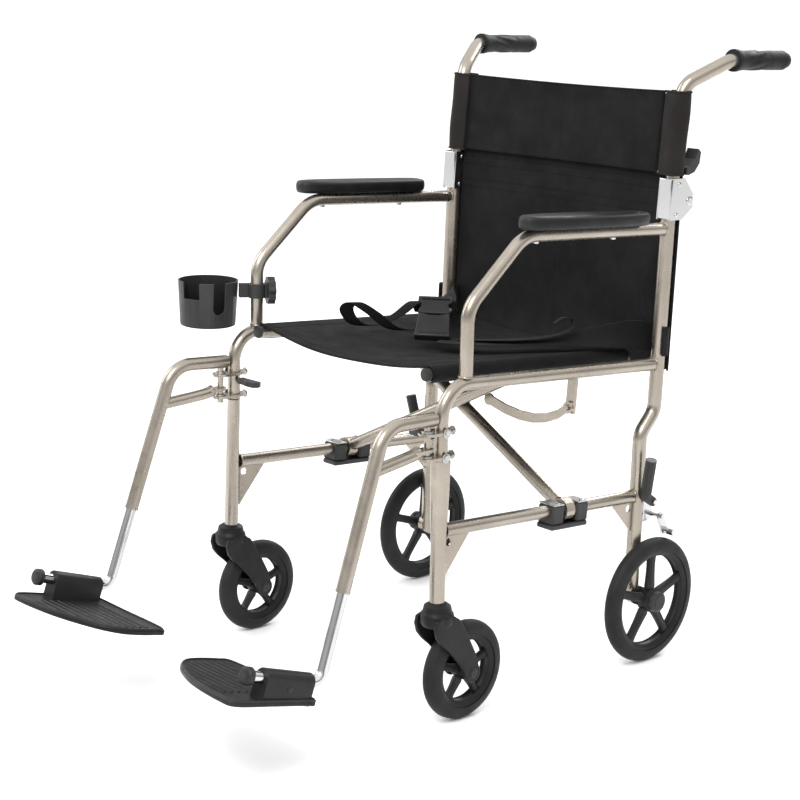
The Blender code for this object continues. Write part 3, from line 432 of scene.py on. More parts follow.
def post_y(z):
    share = (z - BEND_HIGH[1]) / (POST_TOP[1] - BEND_HIGH[1])
    return BEND_HIGH[0] + share * (POST_TOP[0] - BEND_HIGH[0])


def cane_y(z):
    share = (z - CANE_LOW[1]) / (CANE_HIGH[1] - CANE_LOW[1])
    return CANE_LOW[0] + (CANE_HIGH[0] - CANE_LOW[0]) * share


def arm_z(y):
    return ARM_BEND[1] + ARM_SLOPE * (y - ARM_BEND[0])


def rail_at(x, y):
    """A point on the seat rail's centre line."""
    return at(x, y, RAIL_Z + SLOPE * y)


def weld(name, centre, axis, body):
    """A slightly uneven bead round the end of a tube."""
    turn = facing(axis)
    ring = []
    for a in around(24):
        wobble = WELD_R + 0.0002 * math.sin(7 * a)
        ring.append(turn @ Vector((wobble * math.cos(a), wobble * math.sin(a), 0)) + centre)
    tube("weld_" + name, ring, BEAD_R, "champagne", body, 3, True)


def frame_tubes(s, side, body):
    """Round skins over the frame's tubes, and a weld bead where a tube meets another."""
    x = s * FRAME_X
    back = post_y(0.479) - POST_R
    rail = rounded([rail_at(x, back), at(x, 0, RAIL_Z), at(x, 0, 0.3980)], [0.045], 12)
    tube("seat_rail_skin_" + side, rail, RAIL_R, "champagne", body)
    post = rounded([at(x, *spot) for spot in (POST_FOOT, BEND_LOW, BEND_HIGH, POST_TOP)], [0.030, 0.030], 8)
    tube("back_post_skin_" + side, post, POST_R, "champagne", body)
    low = [at(x, y, LOWER_Z + SLOPE * y) for y in (0.0121, 0.4274)]
    tube("lower_rail_skin_" + side, low, RAIL_R, "champagne", body)
    end = post_y(0.691) - POST_R
    foot = RAIL_Z + SLOPE * ARM_FOOT_Y + RAIL_R
    arm = [at(x, ARM_FOOT_Y, foot), at(x, 0.0434, 0.6098), at(x, *ARM_BEND), at(x, end, arm_z(end))]
    tube("arm_tube_skin_" + side, rounded(arm, [0.045, 0.060], 12), RAIL_R, "champagne", body)
    weld("arm_foot_" + side, at(x, ARM_FOOT_Y, foot - 0.0004), (0, 0, 1), body)
    weld("arm_end_" + side, at(x, end + 0.0004, arm_z(end)), (0, 1, 0), body)
    weld("rail_end_" + side, at(x, back + 0.0002, RAIL_Z + SLOPE * back), (0, 1, 0), body)
    weld("lower_front_" + side, at(x, 0.0122, LOWER_Z - 0.0007), (0, 1, 0), body)
    weld("lower_back_" + side, at(x, 0.4272, LOWER_Z + SLOPE * 0.4272), (0, 1, 0), body)


def grip_radius(t, a, s):
    """Radius of the grip at a share t of its length and an angle a: collars, flutes and a tapered end."""
    if t < 0.07:
        return 0.0172
    if t < 0.12:
        return 0.0160
    if t > 0.97:
        return 0.0120
    if t > 0.94:
        return 0.0140
    if 0.16 < t < 0.62:
        flute = 1 if math.sin(a * 6 + t * 16.0 * s) > 0 else -1
        return 0.0148 + 0.0007 * flute * math.sin(math.pi * (t - 0.16) / 0.46)
    return 0.0148 + 0.0004


def cane(s, side):
    """Push cane skin, and the fluted grip with its end cap."""
    body = "cane_" + side
    start = Vector((s * 0.2704, 0.5616, 0.9474))
    end = Vector((s * 0.2718, 0.6940, 0.9465))
    heading = (end - start).normalized()
    path = rounded([(s * FRAME_X, *CANE_LOW), (s * FRAME_X, *CANE_HIGH), start - heading * 0.006,
                    start + heading * 0.02], [0.035, 0.035], 10)
    tube("push_cane_skin_" + side, [p + SHIFT for p in path], CANE_R, "champagne", body)
    turn = facing(heading)
    length = (end - start).length
    sections = 40
    rings = []
    for i in range(sections + 1):
        t = i / sections
        ring = []
        for a in around(72):
            r = grip_radius(t, a, s)
            ring.append(turn @ Vector((r * math.cos(a), r * math.sin(a), t * length)) + start + SHIFT)
        rings.append(ring)
    grip = mesh("hand_grip_fluted_" + side, *loft(rings), "grip_rubber", body, angle=60)
    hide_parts("hand_grip_" + side)
    disc("grip_end_" + side, end + SHIFT - heading * 0.0008, heading, 0.0085, 0.0012, "grip_rubber", body)


def hinge(s, side, body):
    """Pivot bolt, rivets and front plate on the chrome hinge."""
    x = s * FRAME_X
    outer = x + s * 0.0138
    hexagon("hinge_bolt_" + side, at(outer, *HINGE_PIN), (s, 0, 0), 0.0052, 0.0030, "chrome", body)
    for tag, spot in (("low", (0.4745, 0.7135)), ("high", (0.4785, 0.7600))):
        for face in (1, -1):
            disc("hinge_rivet_" + tag + side + str(face), at(x + face * 0.0137, *spot), (face, 0, 0),
                 0.0038, 0.0016, "chrome", body, 0.6)
    place = Matrix.Translation(at(x, 0.4625, 0.7375)) @ Matrix.Rotation(math.radians(90), 4, "X")
    plate("hinge_front_" + side, box_outline(0.0118, 0.0310), place, 0.0022, "chrome", body, 0.001)


# ---------------------------------------------------------------- wheels
WHEEL_SIZES = {"rear": {"radius": 0.1015, "rim": 0.0815, "hub": 0.0195, "width": 0.0128, "spoke": 0.0150,
                        "hub_length": 0.0125, "bore": 0.0068},
               "caster": {"radius": 0.0750, "rim": 0.0545, "hub": 0.0140, "width": 0.0140, "spoke": 0.0120,
                          "hub_length": 0.0150, "bore": 0.0057}}


def wheel(s, side, kind):
    """Five-spoke wheel with a ribbed tyre, from turned rim, tyre and hub and lofted spokes."""
    size = WHEEL_SIZES[kind]
    centre = at(s * 0.2605, *HUB) if kind == "rear" else at(s * CASTER_X, *CASTER_HUB)
    body = kind + "_wheel_" + side
    rim, hub_r, width, hub_end = size["rim"], size["hub"], size["width"], size["hub_length"]
    axis = (s, 0, 0)
    lip = size["radius"] - 0.0075
    for face in (1, -1):
        line = [(lip - 0.0012, face * width * 0.70), (lip, face * (width * 0.70 + 0.0010)),
                (lip + 0.0012, face * width * 0.62), (lip, face * width * 0.5)]
        turned("tyre_line_" + kind + side + str(face), line, centre, axis, "tyre", body, 72)
    seat = rim + 0.0010
    section = [(seat + (size["radius"] - seat) * math.sin(a) ** 0.8, width * math.cos(a))
               for a in [math.pi * k / 16 for k in range(17)]]
    tyre = turned(kind + "_tyre_round_" + side, section, centre, axis, "tyre", body, 96)
    flank = [(rim - 0.0065, 0.40), (rim - 0.0085, 0.55), (rim - 0.0040, 0.82), (rim + 0.0012, 0.86)]
    band = [(r, width * share) for r, share in flank[1:]]
    band += [(r, -width * share) for r, share in reversed(flank)]
    band += [(rim - 0.0055, 0.0), (flank[0][0], width * flank[0][1])]
    rim_piece = turned(kind + "_rim_" + side, band, centre, axis, "black_plastic", body, 96)
    hub = mirrored([(size["bore"], hub_end), (hub_r * 0.72, hub_end), (hub_r * 0.80, hub_end - 0.002),
                    (hub_r, 0.0075)])
    turned(kind + "_hub_" + side, hub, centre, axis, "black_plastic", body, 48)
    # each spoke is lofted through (radius, width share, half depth) stations with an eight-sided section
    stations = ((hub_r * 0.85, 1.35, 0.0085), (hub_r + 0.006, 1.0, 0.0070), (rim * 0.70, 0.92, 0.0058),
                (rim - 0.010, 1.0, 0.0062), (rim - 0.004, 1.5, 0.0075))
    octagon = ((-1, -0.55), (-0.6, -1), (0.6, -1), (1, -0.55), (1, 0.55), (0.6, 1), (-0.6, 1), (-1, 0.55))
    verts, faces = [], []
    for k in range(5):
        a = math.radians(90 + 72 * k)
        out = Vector((0, math.cos(a), math.sin(a)))
        across = Vector((0, -math.sin(a), math.cos(a)))
        rings = [[centre + out * r + across * u * size["spoke"] / 2 * wide + Vector((v * deep, 0, 0))
                  for u, v in octagon] for r, wide, deep in stations]
        more_verts, more_faces = loft(rings, len(verts))
        verts += more_verts
        faces += more_faces
    mesh(kind + "_spokes_" + side, verts, faces, "black_plastic", body, subdivide=1)
    if kind == "rear":
        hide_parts("rear_wheel_" + side)
        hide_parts("rear_tyre_" + side)
        cap = [(PINHOLE, 0.0385), (0.0080, 0.0380), (0.0120, 0.0362), (0.0148, 0.0325), (0.0150, 0.0290),
               (PINHOLE, 0.0290)]
        foot = at(s * (FRAME_X + 0.0106), *HUB)
        turned("axle_cap_" + side, cap, foot, axis, "black_plastic", FRAME_BODY[s], 40)
    else:
        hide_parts("caster_wheel_" + side)


def fork(s, side):
    """Moulded caster fork with rounded cheeks, crown cup, bridge and axle bolt heads."""
    body = "caster_" + side
    x = s * CASTER_X
    crown = [(PINHOLE, 0.1893), (0.0128, 0.1893), (0.0150, 0.1880), (0.0195, 0.1850), (0.0208, 0.1800),
             (0.0214, 0.1765), (0.0235, 0.1745), (0.0246, 0.1700), (0.0249, 0.1610), (0.0225, 0.1560),
             (PINHOLE, 0.1545)]
    piece = turned("fork_crown_" + side, crown, at(x, 0, 0), (0, 0, 1), "black_plastic", body, 48)
    # outlines are (y, z) in the layout, so their placement stands them across X
    cheek = [(-0.0240, 0.1580), (-0.0215, 0.1690), (-0.0100, 0.1728), (0.0110, 0.1725), (0.0235, 0.1650),
             (0.0340, 0.1500), (0.0480, 0.1260), (0.0610, 0.1020)]
    hub_y, hub_z = CASTER_HUB
    eye = 0.0150
    cheek += [(hub_y + eye * math.cos(math.radians(a)), hub_z + eye * math.sin(math.radians(a)))
              for a in range(40, -141, -15)]
    cheek += [(0.0350, 0.0850), (0.0240, 0.0985), (0.0060, 0.1180), (-0.0110, 0.1330), (-0.0200, 0.1440)]
    for face in (1, -1):
        place = axes((0, 1, 0), (0, 0, 1), (1, 0, 0), at(x + face * 0.0205, 0, 0))
        plate("fork_cheek_" + side + str(face), cheek, place, 0.0060, "black_plastic", body, 0.0018)
        hexagon("fork_axle_" + side + str(face), at(x + face * 0.0234, *CASTER_HUB), (face, 0, 0), 0.0058,
                0.0026, "black_plastic", body)
    bridge = [(-0.0185, 0.1570), (-0.0170, 0.1690), (0.0190, 0.1690), (0.0215, 0.1620), (0.0200, 0.1570)]
    place = axes((0, 1, 0), (0, 0, 1), (1, 0, 0), at(x, 0, 0))
    plate("fork_bridge_" + side, bridge, place, 0.0400, "black_plastic", body, 0.001)
    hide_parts("caster_fork_" + side)


# ---------------------------------------------------------------- arms and leg rests
def arm_pad(s, side, body):
    """Moulded arm pad: crowned top, rolled edge, and two screws under its tube."""
    low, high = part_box("arm_pad_" + side)
    middle = (low + high) / 2
    half_x, half_y = (high.x - low.x) / 2, (high.y - low.y) / 2
    base = arm_z(middle.y - SHIFT.y) + RAIL_R + 0.0004
    # (height, share of the full width) from the underside to the crown
    levels = ((0.0, 0.86), (0.0012, 0.93), (0.0045, 0.985), (0.0080, 1.0), (0.0120, 1.0), (0.0155, 0.975),
              (0.0180, 0.92), (0.0194, 0.80), (0.0202, 0.55), (0.0205, 0.2))
    rings = []
    for height, scale in levels:
        inset = (1 - scale) * half_x
        ring = []
        for a in around(48):
            c, n = math.cos(a), math.sin(a)
            px = math.copysign(abs(c) ** 0.62, c) * (half_x - inset)
            py = math.copysign(abs(n) ** 0.66, n) * (half_y - inset)
            ring.append(Vector((middle.x + px, middle.y + py, base + height + ARM_SLOPE * py)))
        rings.append(ring)
    pad = mesh("arm_pad_moulded_" + side, *loft(rings), "black_plastic", body, angle=60)
    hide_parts("arm_pad_" + side)
    for k, y in enumerate((0.176, 0.345)):
        under = at(s * FRAME_X, y, arm_z(y) - RAIL_R + 0.0008)
        disc("arm_screw_" + side + str(k), under, (0, 0, -1), 0.0045, 0.0034, "zinc", body, 0.6)


def leg_rest(s, side):
    """Hanger, its hinge hardware, chrome foot tube and the ribbed foot plate."""
    body = "hanger_" + side
    x = s * FRAME_X
    bend = Vector((s * 0.2410, -0.1145, 0.4633))
    end = Vector((s * 0.2470, -0.1878, 0.2465))
    down = (end - bend).normalized()
    path = rounded([(x, -0.0155, 0.4595), bend, end], [0.042], 14)
    tube("hanger_skin_" + side, [p + SHIFT for p in path], 0.0102, "champagne", body)
    join_y = bend.y + (end.y - bend.y) / (end.z - bend.z) * (0.4087 - bend.z)
    strut = spline_through([(x, -0.0430, 0.4167), (x, -0.0600, 0.4122), (s * 0.2425, join_y, 0.4047)], 6)
    tube("hanger_strut_skin_" + side, [p + SHIFT for p in strut], 0.0088, "champagne", body)
    ring = [(0.0080, 0.0), (0.0107, 0.0), (0.0107, 0.0035), (0.0080, 0.0035)]
    turned("hanger_lip_" + side, ring, end + SHIFT - down * 0.003, down, "champagne", body, 32)
    for k, z in enumerate((0.4397, 0.4042)):
        disc("hanger_pin_top_" + side + str(k), at(x, -0.0270, z + 0.0019), (0, 0, 1), 0.0086, 0.0030,
             "zinc", FRAME_BODY[s], 0.4)
        hexagon("hanger_nut_" + side + str(k), at(x + s * 0.0134, -0.002, z), (s, 0, 0), 0.0052, 0.0036,
                "zinc", FRAME_BODY[s])
        hexagon("hanger_bolt_" + side + str(k), at(x, 0.0212, z - 0.001), (0, 1, 0), 0.0050, 0.0030,
                "zinc", FRAME_BODY[s])
    tube_body = "foot_tube_" + side
    axis = Vector((0, down.y, down.z)).normalized()
    corner = end + down * ((0.1271 - end.z) / down.z)
    forward = Vector((0, axis.z, -axis.y)).normalized()
    tip = corner + forward * 0.128
    path = rounded([end - down * 0.02, corner, tip], [0.018], 10)
    tube("foot_tube_skin_" + side, [p + SHIFT for p in path], 0.0081, "chrome", tube_body)
    knob = [(PINHOLE, 0.0), (0.0110, 0.0), (0.0124, 0.0012), (0.0124, 0.0090), (0.0112, 0.0104),
            (0.0070, 0.0112), (PINHOLE, 0.0114)]
    turned("foot_tube_knob_" + side, knob, tip + SHIFT - forward * 0.0018, forward, "black_plastic",
           tube_body, 40)
    foot_plate(s, side, corner, forward)


def foot_plate(s, side, corner, forward):
    """Plate with a curved front edge, a rim, treads across its top, and the sleeve it turns on."""
    body = "foot_plate_" + side
    basis = axes(RIGHT, forward, forward.cross(RIGHT), corner + SHIFT)
    tread_turn = Matrix.Rotation(-(math.atan2(forward.z, -forward.y) - math.radians(14)), 4, "X")
    place = basis @ Matrix.Translation((0, 0, -0.018 - 0.005)) @ tread_turn
    corners = [(0.0150, 0.030), (0.0160, 0.090), (0.0150, 0.150), (-0.0100, 0.1595), (-0.0800, 0.1500),
               (-0.1400, 0.1240), (-0.1700, 0.0980), (-0.1795, 0.0700), (-0.1780, 0.0300), (-0.1660, 0.0110),
               (-0.0700, 0.0100), (0.0100, 0.0100), (0.0150, 0.030)]
    outline = spline_through([(x, y, 0) for x, y in corners], 4)[:-1]
    flat = [(s * p.x, p.y) for p in outline]
    piece = plate("foot_plate_base_" + side, flat, place, 0.0080, "black_plastic", body, 0.0022)
    rim = [place @ Vector((s * p.x * 0.985, 0.078 + (p.y - 0.078) * 0.965, 0.0042)) for p in outline]
    tube("foot_plate_rim_" + side, rim, 0.0017, "black_plastic", body, 3, True)
    tread = ((-0.0022, 0.0038), (-0.0014, 0.0054), (0.0014, 0.0054), (0.0022, 0.0038))
    faces = [(0, 1, 2, 3), (7, 6, 5, 4), (0, 4, 5, 1), (1, 5, 6, 2), (2, 6, 7, 3), (3, 7, 4, 0)]
    for k in range(9):
        y = 0.040 + 0.0125 * k
        reach = 0.166 if y < 0.080 else 0.166 - (y - 0.080) * (y - 0.080) * 24
        verts = [place @ Vector((s * u, y + v, w)) for u in (-reach, -0.024) for v, w in tread]
        mesh("foot_plate_tread_" + side + str(k), verts, faces, "black_plastic", body, 0.0004)
    start, length, radius = 0.0200, 0.0860, 0.0134
    section = [(radius * math.cos(math.radians(a)), radius * math.sin(math.radians(a)))
               for a in range(0, 181, 12)]
    section += [(-radius, -0.0300), (radius, -0.0300)]
    stand = Matrix(((1, 0, 0, 0), (0, 0, 1, start + length / 2), (0, 1, 0, 0), (0, 0, 0, 1)))
    plate("foot_sleeve_" + side, section, basis @ stand, length, "black_plastic", body, 0.0012)
    screw = basis @ Vector((s * 0.0131, start + length / 2, -0.010))
    disc("foot_sleeve_screw_" + side, screw, (s, 0, 0), 0.0042, 0.0016, "black_plastic", body, 0.6)
    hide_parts("foot_plate_" + side)


# ---------------------------------------------------------------- brace
RAIL_WAY = Vector((0, 1, SLOPE)).normalized()        # along the rails, towards the back
RAIL_UP = RIGHT.cross(RAIL_WAY)
BRACE_Y = {1: 0.2655, -1: 0.2440}    # where each diagonal's knuckle turns on its lower rail


def brace_point(x, y, lift):
    """A point in the layout at a height above the lower rails."""
    return Vector((x, y, LOWER_Z + SLOPE * y)) + RAIL_UP * lift


def braces():
    """Diagonal and seat tube skins, seat tube end caps and the bolt through the crossing."""
    top = SEAT_Z - LOWER_Z
    cross = top * FRAME_X / (FRAME_X + SEAT_X)
    for s, body in ((1, "brace_a"), (-1, "brace_b")):
        foot = brace_point(s * FRAME_X, BRACE_Y[s], 0)
        head = brace_point(-s * SEAT_X, BRACE_Y[s], top)
        along = (head - foot).normalized()
        tube(body + "_skin", [foot + along * 0.0165 + SHIFT, head + SHIFT], RAIL_R, "champagne", body)
        ends = [at(-s * SEAT_X, y, SEAT_Z + SLOPE * y) for y in (0.0120, 0.4450)]
        tube(body + "_seat_tube_skin", ends, RAIL_R, "champagne", body)
        for k, (place, way) in enumerate(zip(ends, (-RAIL_WAY, RAIL_WAY))):
            disc(body + "_end_cap" + str(k), place - way * 0.0005, way, 0.0100, 0.0050, "black_plastic",
                 body, 0.6)
        for way in (1, -1):
            disc(body + "_knuckle_ring" + str(way), foot + SHIFT + RAIL_WAY * way * 0.0080, RAIL_WAY * way,
                 0.0166, 0.0012, "champagne", body, 0.5, 40)
    centre = brace_point(0, sum(BRACE_Y.values()) / 2, cross) + SHIFT
    for name, way in (("cross_bolt_head", -RAIL_WAY), ("cross_bolt_nut", RAIL_WAY)):
        hexagon(name, centre + way * 0.0215, way, 0.0080, 0.0050, "zinc", "brace_a")


def rail_saddle(s, side, body):
    """Steel straps and screws over the brace's plastic saddle."""
    foot = brace_point(s * FRAME_X, BRACE_Y[s], 0) + SHIFT
    for way in (1, -1):
        arm = foot + RAIL_WAY * way * 0.0275
        plate("saddle_strap_" + side + str(way), box_outline(0.0160, 0.0115),
              axes(RIGHT, RAIL_WAY, RAIL_UP, arm + RAIL_UP * 0.0118), 0.0016, "zinc", body, 0.0005)
        disc("saddle_screw_" + side + str(way), arm + RAIL_UP * 0.0124 + RIGHT * s * 0.0112, RAIL_UP, 0.0042,
             0.0022, "zinc", body, 0.6)


# ---------------------------------------------------------------- soft goods
OVERLAP = 0.004           # how far each half of the back runs past the middle


def wrinkle(u, v, size):
    """Shallow creases, zero at the edges of the unit square."""
    edge = math.sin(math.pi * min(max(u, 0), 1)) * math.sin(math.pi * min(max(v, 0.02), 0.98))
    value = (math.sin(9 * u + 5 * v * v + 1.3) * 0.5 + math.sin(17 * u - 11 * v + 0.4) * 0.28
             + math.sin(31 * v + 6 * math.sin(4 * u)) * 0.16 + math.sin(23 * (u + v)) * 0.14)
    return size * edge * value


def seat():
    """Seat sling round both seat tubes, sagging and creased, with hems and stitch rows."""
    r = 0.0122                       # cloth round a seat tube
    rows = []
    count_y, count_x = 28, 36
    front, rear = 0.0150, 0.4420
    for i in range(count_y + 1):
        v = i / count_y
        y = front + (rear - front) * v
        z = SEAT_Z + SLOPE * y
        depth = 0.0105 + 0.003 * math.sin(math.pi * v) + 0.0085 * math.exp(-7 * v)
        wrap = [(SEAT_X + r * math.cos(math.radians(a)), z + r * math.sin(math.radians(a)))
                for a in (-80, -46, -12, 22, 56, 78)]
        flat = []
        for j in range(count_x + 1):
            u = j / count_x
            x = SEAT_X * (1 - 2 * u)
            sag = depth * (1 - (x / SEAT_X) ** 2)
            flat.append((x, z + r - sag + wrinkle(u, v, 0.0036)))
        row = wrap + flat + [(-px, pz) for px, pz in reversed(wrap)]
        scallop = 0.0028 if v < 0.05 else 0.0
        rows.append([at(px, y + scallop * math.sin(27.9 * px), pz) for px, pz in row])
    seat_piece = cloth("seat_sling_cloth", rows, "fabric", None, 0.0016)
    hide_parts("seat_sling")
    pieces = [seat_piece]
    for tag, row in (("front", rows[0]), ("back", rows[-1])):
        edge = [p + Vector((0, 0, -0.0004)) for p in row[5:-5]]
        pieces.append(as_mesh(tube("seat_hem_" + tag, edge, 0.0021, "fabric", None, 3)))
    lift = Vector((0, 0, 0.0007))
    for tag, line in (("front_a", rows[1][5:-5]), ("back_a", rows[-2][5:-5]),
                      ("side_left", [row[8] for row in rows]), ("side_right", [row[-9] for row in rows])):
        thread = tube("seat_stitch_" + tag, [p + lift for p in line], 0.0005, "stitch", None, 2)
        pieces.append(as_mesh(thread))
    for piece in pieces:
        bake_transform(piece)


def as_mesh(obj):
    """Turn a bevelled curve into a mesh piece of the same name."""
    bpy.context.view_layer.update()
    data = bpy.data.meshes.new_from_object(obj.evaluated_get(bpy.context.evaluated_depsgraph_get()))
    name, slot = obj.name, obj.get("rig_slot")
    bpy.data.objects.remove(obj, do_unlink=True)
    made = bpy.data.objects.new(name, data)
    bpy.context.scene.collection.objects.link(made)
    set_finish(made, slot)
    return made


def fold_with_frame(obj):
    """Make a curve piece a mesh that rides on its body, and give the piece a mesh of its own."""
    if obj.type == "CURVE":
        body = obj["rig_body"]
        obj = as_mesh(obj)
        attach(obj, body)
    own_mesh(obj)


def upper_back(s, side):
    """One half of the upper back, with its wide sleeve over the push cane."""
    z_low, z_high = 0.7745, 0.8990
    tall = z_high - z_low
    body = "cane_" + side
    count = 14
    sleeve_x, panel_x = FRAME_X - 0.0260, FRAME_X - 0.0240     # inner edges of the sleeve and the panel
    sleeve_rows, panel_rows = [], []
    for i in range(count + 1):
        v = i / count
        z = z_low + tall * v
        y = cane_y(z)
        r = CANE_R + 0.0038 + 0.0010 * math.sin(math.pi * v) + 0.0006 * math.sin(9 * v + s)
        row = [(sleeve_x, y - 0.0085)]
        row += [(FRAME_X + r * math.cos(math.radians(a)), y + r * math.sin(math.radians(a)))
                for a in (-110, -90, -60, -30, 0, 30, 60, 90, 120)]
        row += [(sleeve_x, y + 0.0075)]
        sleeve_rows.append([at(s * px, py, z) for px, py in row])
        line = []
        for j in range(19):
            u = j / 18
            x = panel_x - (panel_x + OVERLAP) * u
            inward = 1 - (x / FRAME_X) ** 2
            crease = wrinkle(0.5 + 0.5 * u * s, v, 0.0018)
            line.append(at(s * x, y - 0.0090 + 0.0105 * inward + crease, z - 0.0035 * inward * v))
        panel_rows.append(line)
    sleeve = cloth("back_sleeve_" + side, sleeve_rows, "sleeve", body, 0.0016)
    panel = cloth("back_upper_panel_" + side, panel_rows, "fabric", body, 0.0018)
    if s > 0:
        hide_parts("back_upper")
    for tag, row, key in (("top", panel_rows[-1], "fabric"), ("sleeve_top", sleeve_rows[-1], "sleeve"),
                          ("sleeve_low", sleeve_rows[0], "sleeve")):
        tube("back_hem_" + tag + side, row, 0.0017, key, body, 3)
    for k, x in enumerate((FRAME_X - 0.0265, FRAME_X - 0.0290)):
        heights = [z_low + tall * t / 12 for t in range(13)]
        seam = [at(s * x, cane_y(z) - 0.0103 + 0.0003 * k, z) for z in heights]
        fold_with_frame(tube("back_seam_" + side + str(k), seam, 0.0006, "stitch", body, 2))
    fold_with_frame(panel)


def lower_back(s, side):
    """One half of the lower back, behind its post, with stitch rows and a bound edge."""
    z_low, z_high = 0.468, 0.7760
    body = FRAME_BODY[s]
    half = 0.2180
    rows = []
    for i in range(25):
        v = i / 24
        z = z_low + (z_high - z_low) * v
        y = post_y(z)
        line = [at(s * (FRAME_X + 0.0100), y + 0.0128, z), at(s * (FRAME_X + 0.0010), y + 0.0136, z)]
        for j in range(19):
            u = j / 18
            x = half - (half + OVERLAP) * u
            bow = 0.0090 * (1 - (x / half) ** 2) + 0.0060
            line.append(at(s * x, y + bow + wrinkle(0.5 + 0.5 * u * s, v, 0.0026), z))
        rows.append(line)
    panel = cloth("back_lower_panel_" + side, rows, "fabric", body, 0.0018)
    if s > 0:
        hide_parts("back_lower")
    for k, index in enumerate((19, 20, 22, 23)):
        line = [p - Vector((0, 0.0011, 0)) for p in rows[index][2:]]
        fold_with_frame(tube("back_row_" + side + str(k), line, 0.0005, "stitch", body, 2))
    fold_with_frame(tube("back_edge_" + side, [row[0] for row in rows], 0.0019, "fabric", body, 3))
    fold_with_frame(panel)


STRAP_WIDTH, TAIL_WIDTH = 0.047, 0.024
# lap straps from the outside of a back post to the buckle: (place, width direction), left side shown
STRAP_WRAP = [((0.2490, 0.4600, 0.517), (0, 0, 1)), ((0.2495, 0.4740, 0.516), (0, 0, 1)),
              ((0.2380, 0.4860, 0.516), (0, 0, 1)), ((0.2200, 0.4780, 0.5170), (0, 0, 1))]
STRAP_ROUTES = {
    "left": [((0.2060, 0.4500, 0.5230), (-0.3, 0.15, 0.9)), ((0.1900, 0.4000, 0.5230), (-0.6, 0.3, 0.6)),
             ((0.1600, 0.3300, 0.5200), (-0.8, 0.45, 0.25)), ((0.1150, 0.2550, 0.5170), (-0.8, 0.55, 0.05)),
             ((0.0800, 0.2000, 0.5180), (-0.6, 0.8, 0)), ((0.0480, 0.1720, 0.5190), (-0.5, 0.85, 0))],
    "right": [((0.2000, 0.4400, 0.5260), (-0.3, 0.15, 0.9)), ((0.1750, 0.4000, 0.5320), (-0.6, 0.35, 0.6)),
              ((0.1250, 0.3500, 0.5370), (-0.75, 0.55, 0.25)), ((0.0750, 0.2950, 0.5480), (-0.75, 0.66, 0)),
              ((0.0250, 0.2380, 0.5680), (-0.75, 0.66, 0)), ((0.0030, 0.2120, 0.5740), (-0.75, 0.66, 0))],
}
# loose tails on the seat: route, width direction and cut length
TAILS = {
    "far": ([(-0.030, 0.215, 0.519), (-0.055, 0.175, 0.520), (-0.075, 0.145, 0.546), (-0.098, 0.128, 0.560),
             (-0.118, 0.130, 0.545), (-0.116, 0.150, 0.521), (-0.100, 0.180, 0.519), (-0.088, 0.215, 0.534),
             (-0.085, 0.250, 0.552), (-0.095, 0.272, 0.530)], (0.85, 0.50, 0.10), 0.29),
    "near": ([(0.060, 0.196, 0.519), (0.095, 0.225, 0.521), (0.125, 0.262, 0.522), (0.150, 0.300, 0.526),
              (0.165, 0.335, 0.535), (0.158, 0.352, 0.548), (0.145, 0.345, 0.551), (0.140, 0.330, 0.543)],
             (0.80, -0.58, 0.10), 0.23),
}


def belt():
    """Lap belt webbing from round each back post to the buckle, and the loose tails on the seat."""
    for s, side in SIDES.items():
        route = STRAP_WRAP + STRAP_ROUTES[side]
        points = [at(s * x, y, z) for (x, y, z), _ in route]
        leans = [Vector((s * a, b, c)) for _, (a, b, c) in route]
        strap = ribbon("lap_strap_" + side, spline_through(points, 6), spline_through(leans, 6), STRAP_WIDTH,
                       "webbing", FRAME_BODY[s])
        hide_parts("belt_" + side)
        fold_with_frame(strap)
    buckle()
    for tag, (route, across, length) in TAILS.items():
        centres = spline_through([at(*p) for p in route], 6)
        tail = ribbon("belt_tail_" + tag, centres, [across] * len(centres), TAIL_WIDTH, "webbing", "brace_b",
                      0.0014)


def buckle():
    """Side-release buckle: socket, prong wings and the slot bars."""
    along = Vector((0.5056, -0.5745, -0.6428)).normalized()
    across = along.cross(Vector((0, 0, -1))).normalized()
    place = axes(along, across, along.cross(across), at(0.020, 0.188, 0.5470))
    socket = mirrored([(-0.006, -0.0240), (0.026, -0.0260), (0.036, -0.0275), (0.0400, -0.0275)])
    socket += [(-0.002, 0.0080), (-0.002, -0.0080)]
    piece = plate("buckle_socket", socket, place, 0.0140, "black_plastic", "brace_b", 0.0022)
    prong = mirrored([(-0.0400, -0.0270), (-0.0300, -0.0270), (-0.0240, -0.0200), (-0.0090, -0.0260),
                      (-0.0060, -0.0180)])
    plate("buckle_prongs", prong, place, 0.0110, "black_plastic", "brace_b", 0.0018)
    raised = place @ Matrix.Translation((0, 0, 0.0062))
    for tag, x in (("socket", 0.0330), ("prong", -0.0350)):
        plate("buckle_bar_" + tag, box_outline(0.0022, 0.0215, x), raised, 0.0026, "grip_rubber", "brace_b",
              0.0006)
    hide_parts("buckle")


def cup_holder():
    """A face disc on the clamp's knob and a ring round the cup's foot."""
    knob_way = Vector((0.469, 0.883, 0.0)).normalized()
    low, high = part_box("cup_knob")
    face = (low + high) / 2 + knob_way * 0.0056
    disc("cup_knob_face", face, knob_way, 0.0120, 0.0012, "black_plastic", "cup_knob")
    low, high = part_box("cup")
    middle = (low + high) / 2
    ring = [Vector((middle.x + 0.0420 * math.cos(a), middle.y + 0.0420 * math.sin(a), low.z + 0.0022))
            for a in around(64)]
    tube("cup_foot_ring", ring, 0.0016, "black_plastic", "right_frame", 3, True)


# ---------------------------------------------------------------- build
for s, side in SIDES.items():
    body = FRAME_BODY[s]
    frame_tubes(s, side, body)
    cane(s, side)
    hinge(s, side, body)
    wheel(s, side, "rear")
    wheel(s, side, "caster")
    fork(s, side)
    arm_pad(s, side, body)
    leg_rest(s, side)
    rail_saddle(s, side, body)
braces()
seat()
for s, side in SIDES.items():
    upper_back(s, side)
for s, side in SIDES.items():
    lower_back(s, side)
belt()
cup_holder()

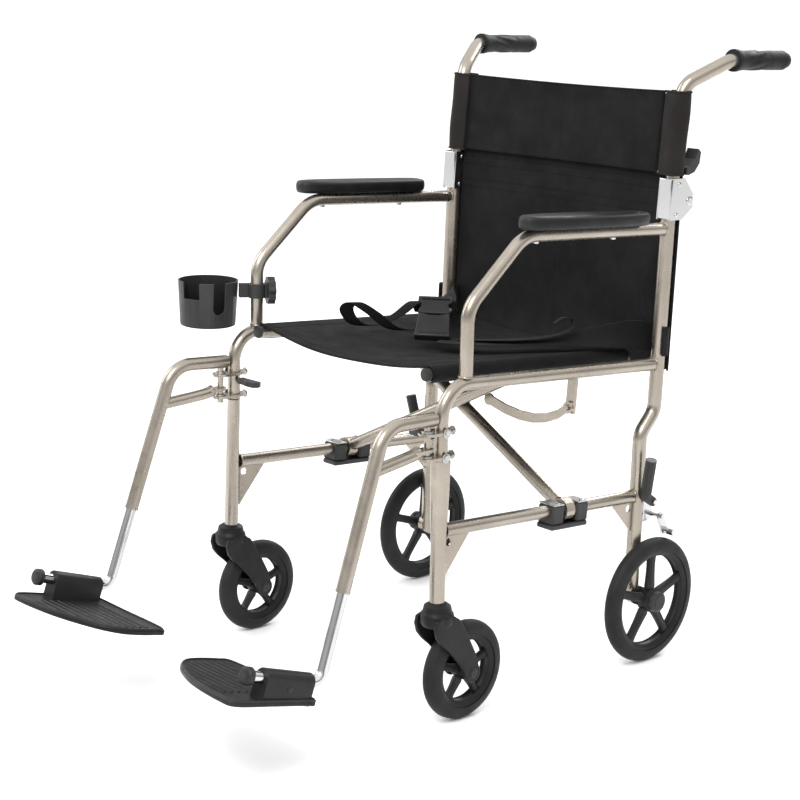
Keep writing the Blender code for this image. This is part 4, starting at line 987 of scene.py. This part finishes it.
# ---------------------------------------------------------------- stage, light and camera
FLOOR_REACH = 400.0
floor_data = bpy.data.meshes.new("floor")
floor_data.from_pydata([(x, y, 0) for x, y in box_outline(FLOOR_REACH, FLOOR_REACH)], [], [(0, 1, 2, 3)])
floor = bpy.data.objects.new("floor", floor_data)
bpy.context.scene.collection.objects.link(floor)
floor.data.materials.append(principled("paper", (0.90, 0.90, 0.90), 0.9)[0])

world = bpy.data.worlds.new("studio")
world.use_nodes = True
sky = world.node_tree.nodes["Background"]
sky.inputs["Strength"].default_value = 1.0
direction = world.node_tree.nodes.new("ShaderNodeTexCoord")
split = world.node_tree.nodes.new("ShaderNodeSeparateXYZ")
world.node_tree.links.new(direction.outputs["Generated"], split.inputs["Vector"])
dome = ramp(world.node_tree, split.outputs["Z"], 0.22, 1.45, (0.02, 0.62))
world.node_tree.links.new(dome, sky.inputs["Color"])
bpy.context.scene.world = world
bpy.context.scene.view_settings.view_transform = "Standard"


def area_light(name, place, target, size, power):
    data = bpy.data.lights.new(name, "AREA")
    data.shape = "RECTANGLE"
    data.size, data.size_y = size
    data.energy = power
    lamp = bpy.data.objects.new(name, data)
    bpy.context.scene.collection.objects.link(lamp)
    lamp.location = place
    lamp.rotation_euler = (Vector(target) - Vector(place)).to_track_quat("-Z", "Y").to_euler()


area_light("key", (1.2, -2.6, 3.4), (0, 0, 0.4), (1.8, 1.8), 110)
area_light("fill", (-2.8, -1.4, 2.0), (0, 0, 0.5), (1.2, 2.4), 45)
area_light("rim", (-0.6, 3.0, 2.4), (0, 0, 0.5), (2.0, 1.0), 55)

camera_data = bpy.data.cameras.new("camera")
camera_data.sensor_width = 36.0
camera_data.lens = 81.582
camera_data.clip_end = 900.0
camera = bpy.data.objects.new("camera", camera_data)
bpy.context.scene.collection.objects.link(camera)
camera.location = Vector((1.98039, -1.72947, 1.05649)) + SHIFT
camera.rotation_euler = [math.radians(a) for a in (76.85204, -1.74511, 47.05133)]
bpy.context.scene.camera = camera

bpy.context.view_layer.update()
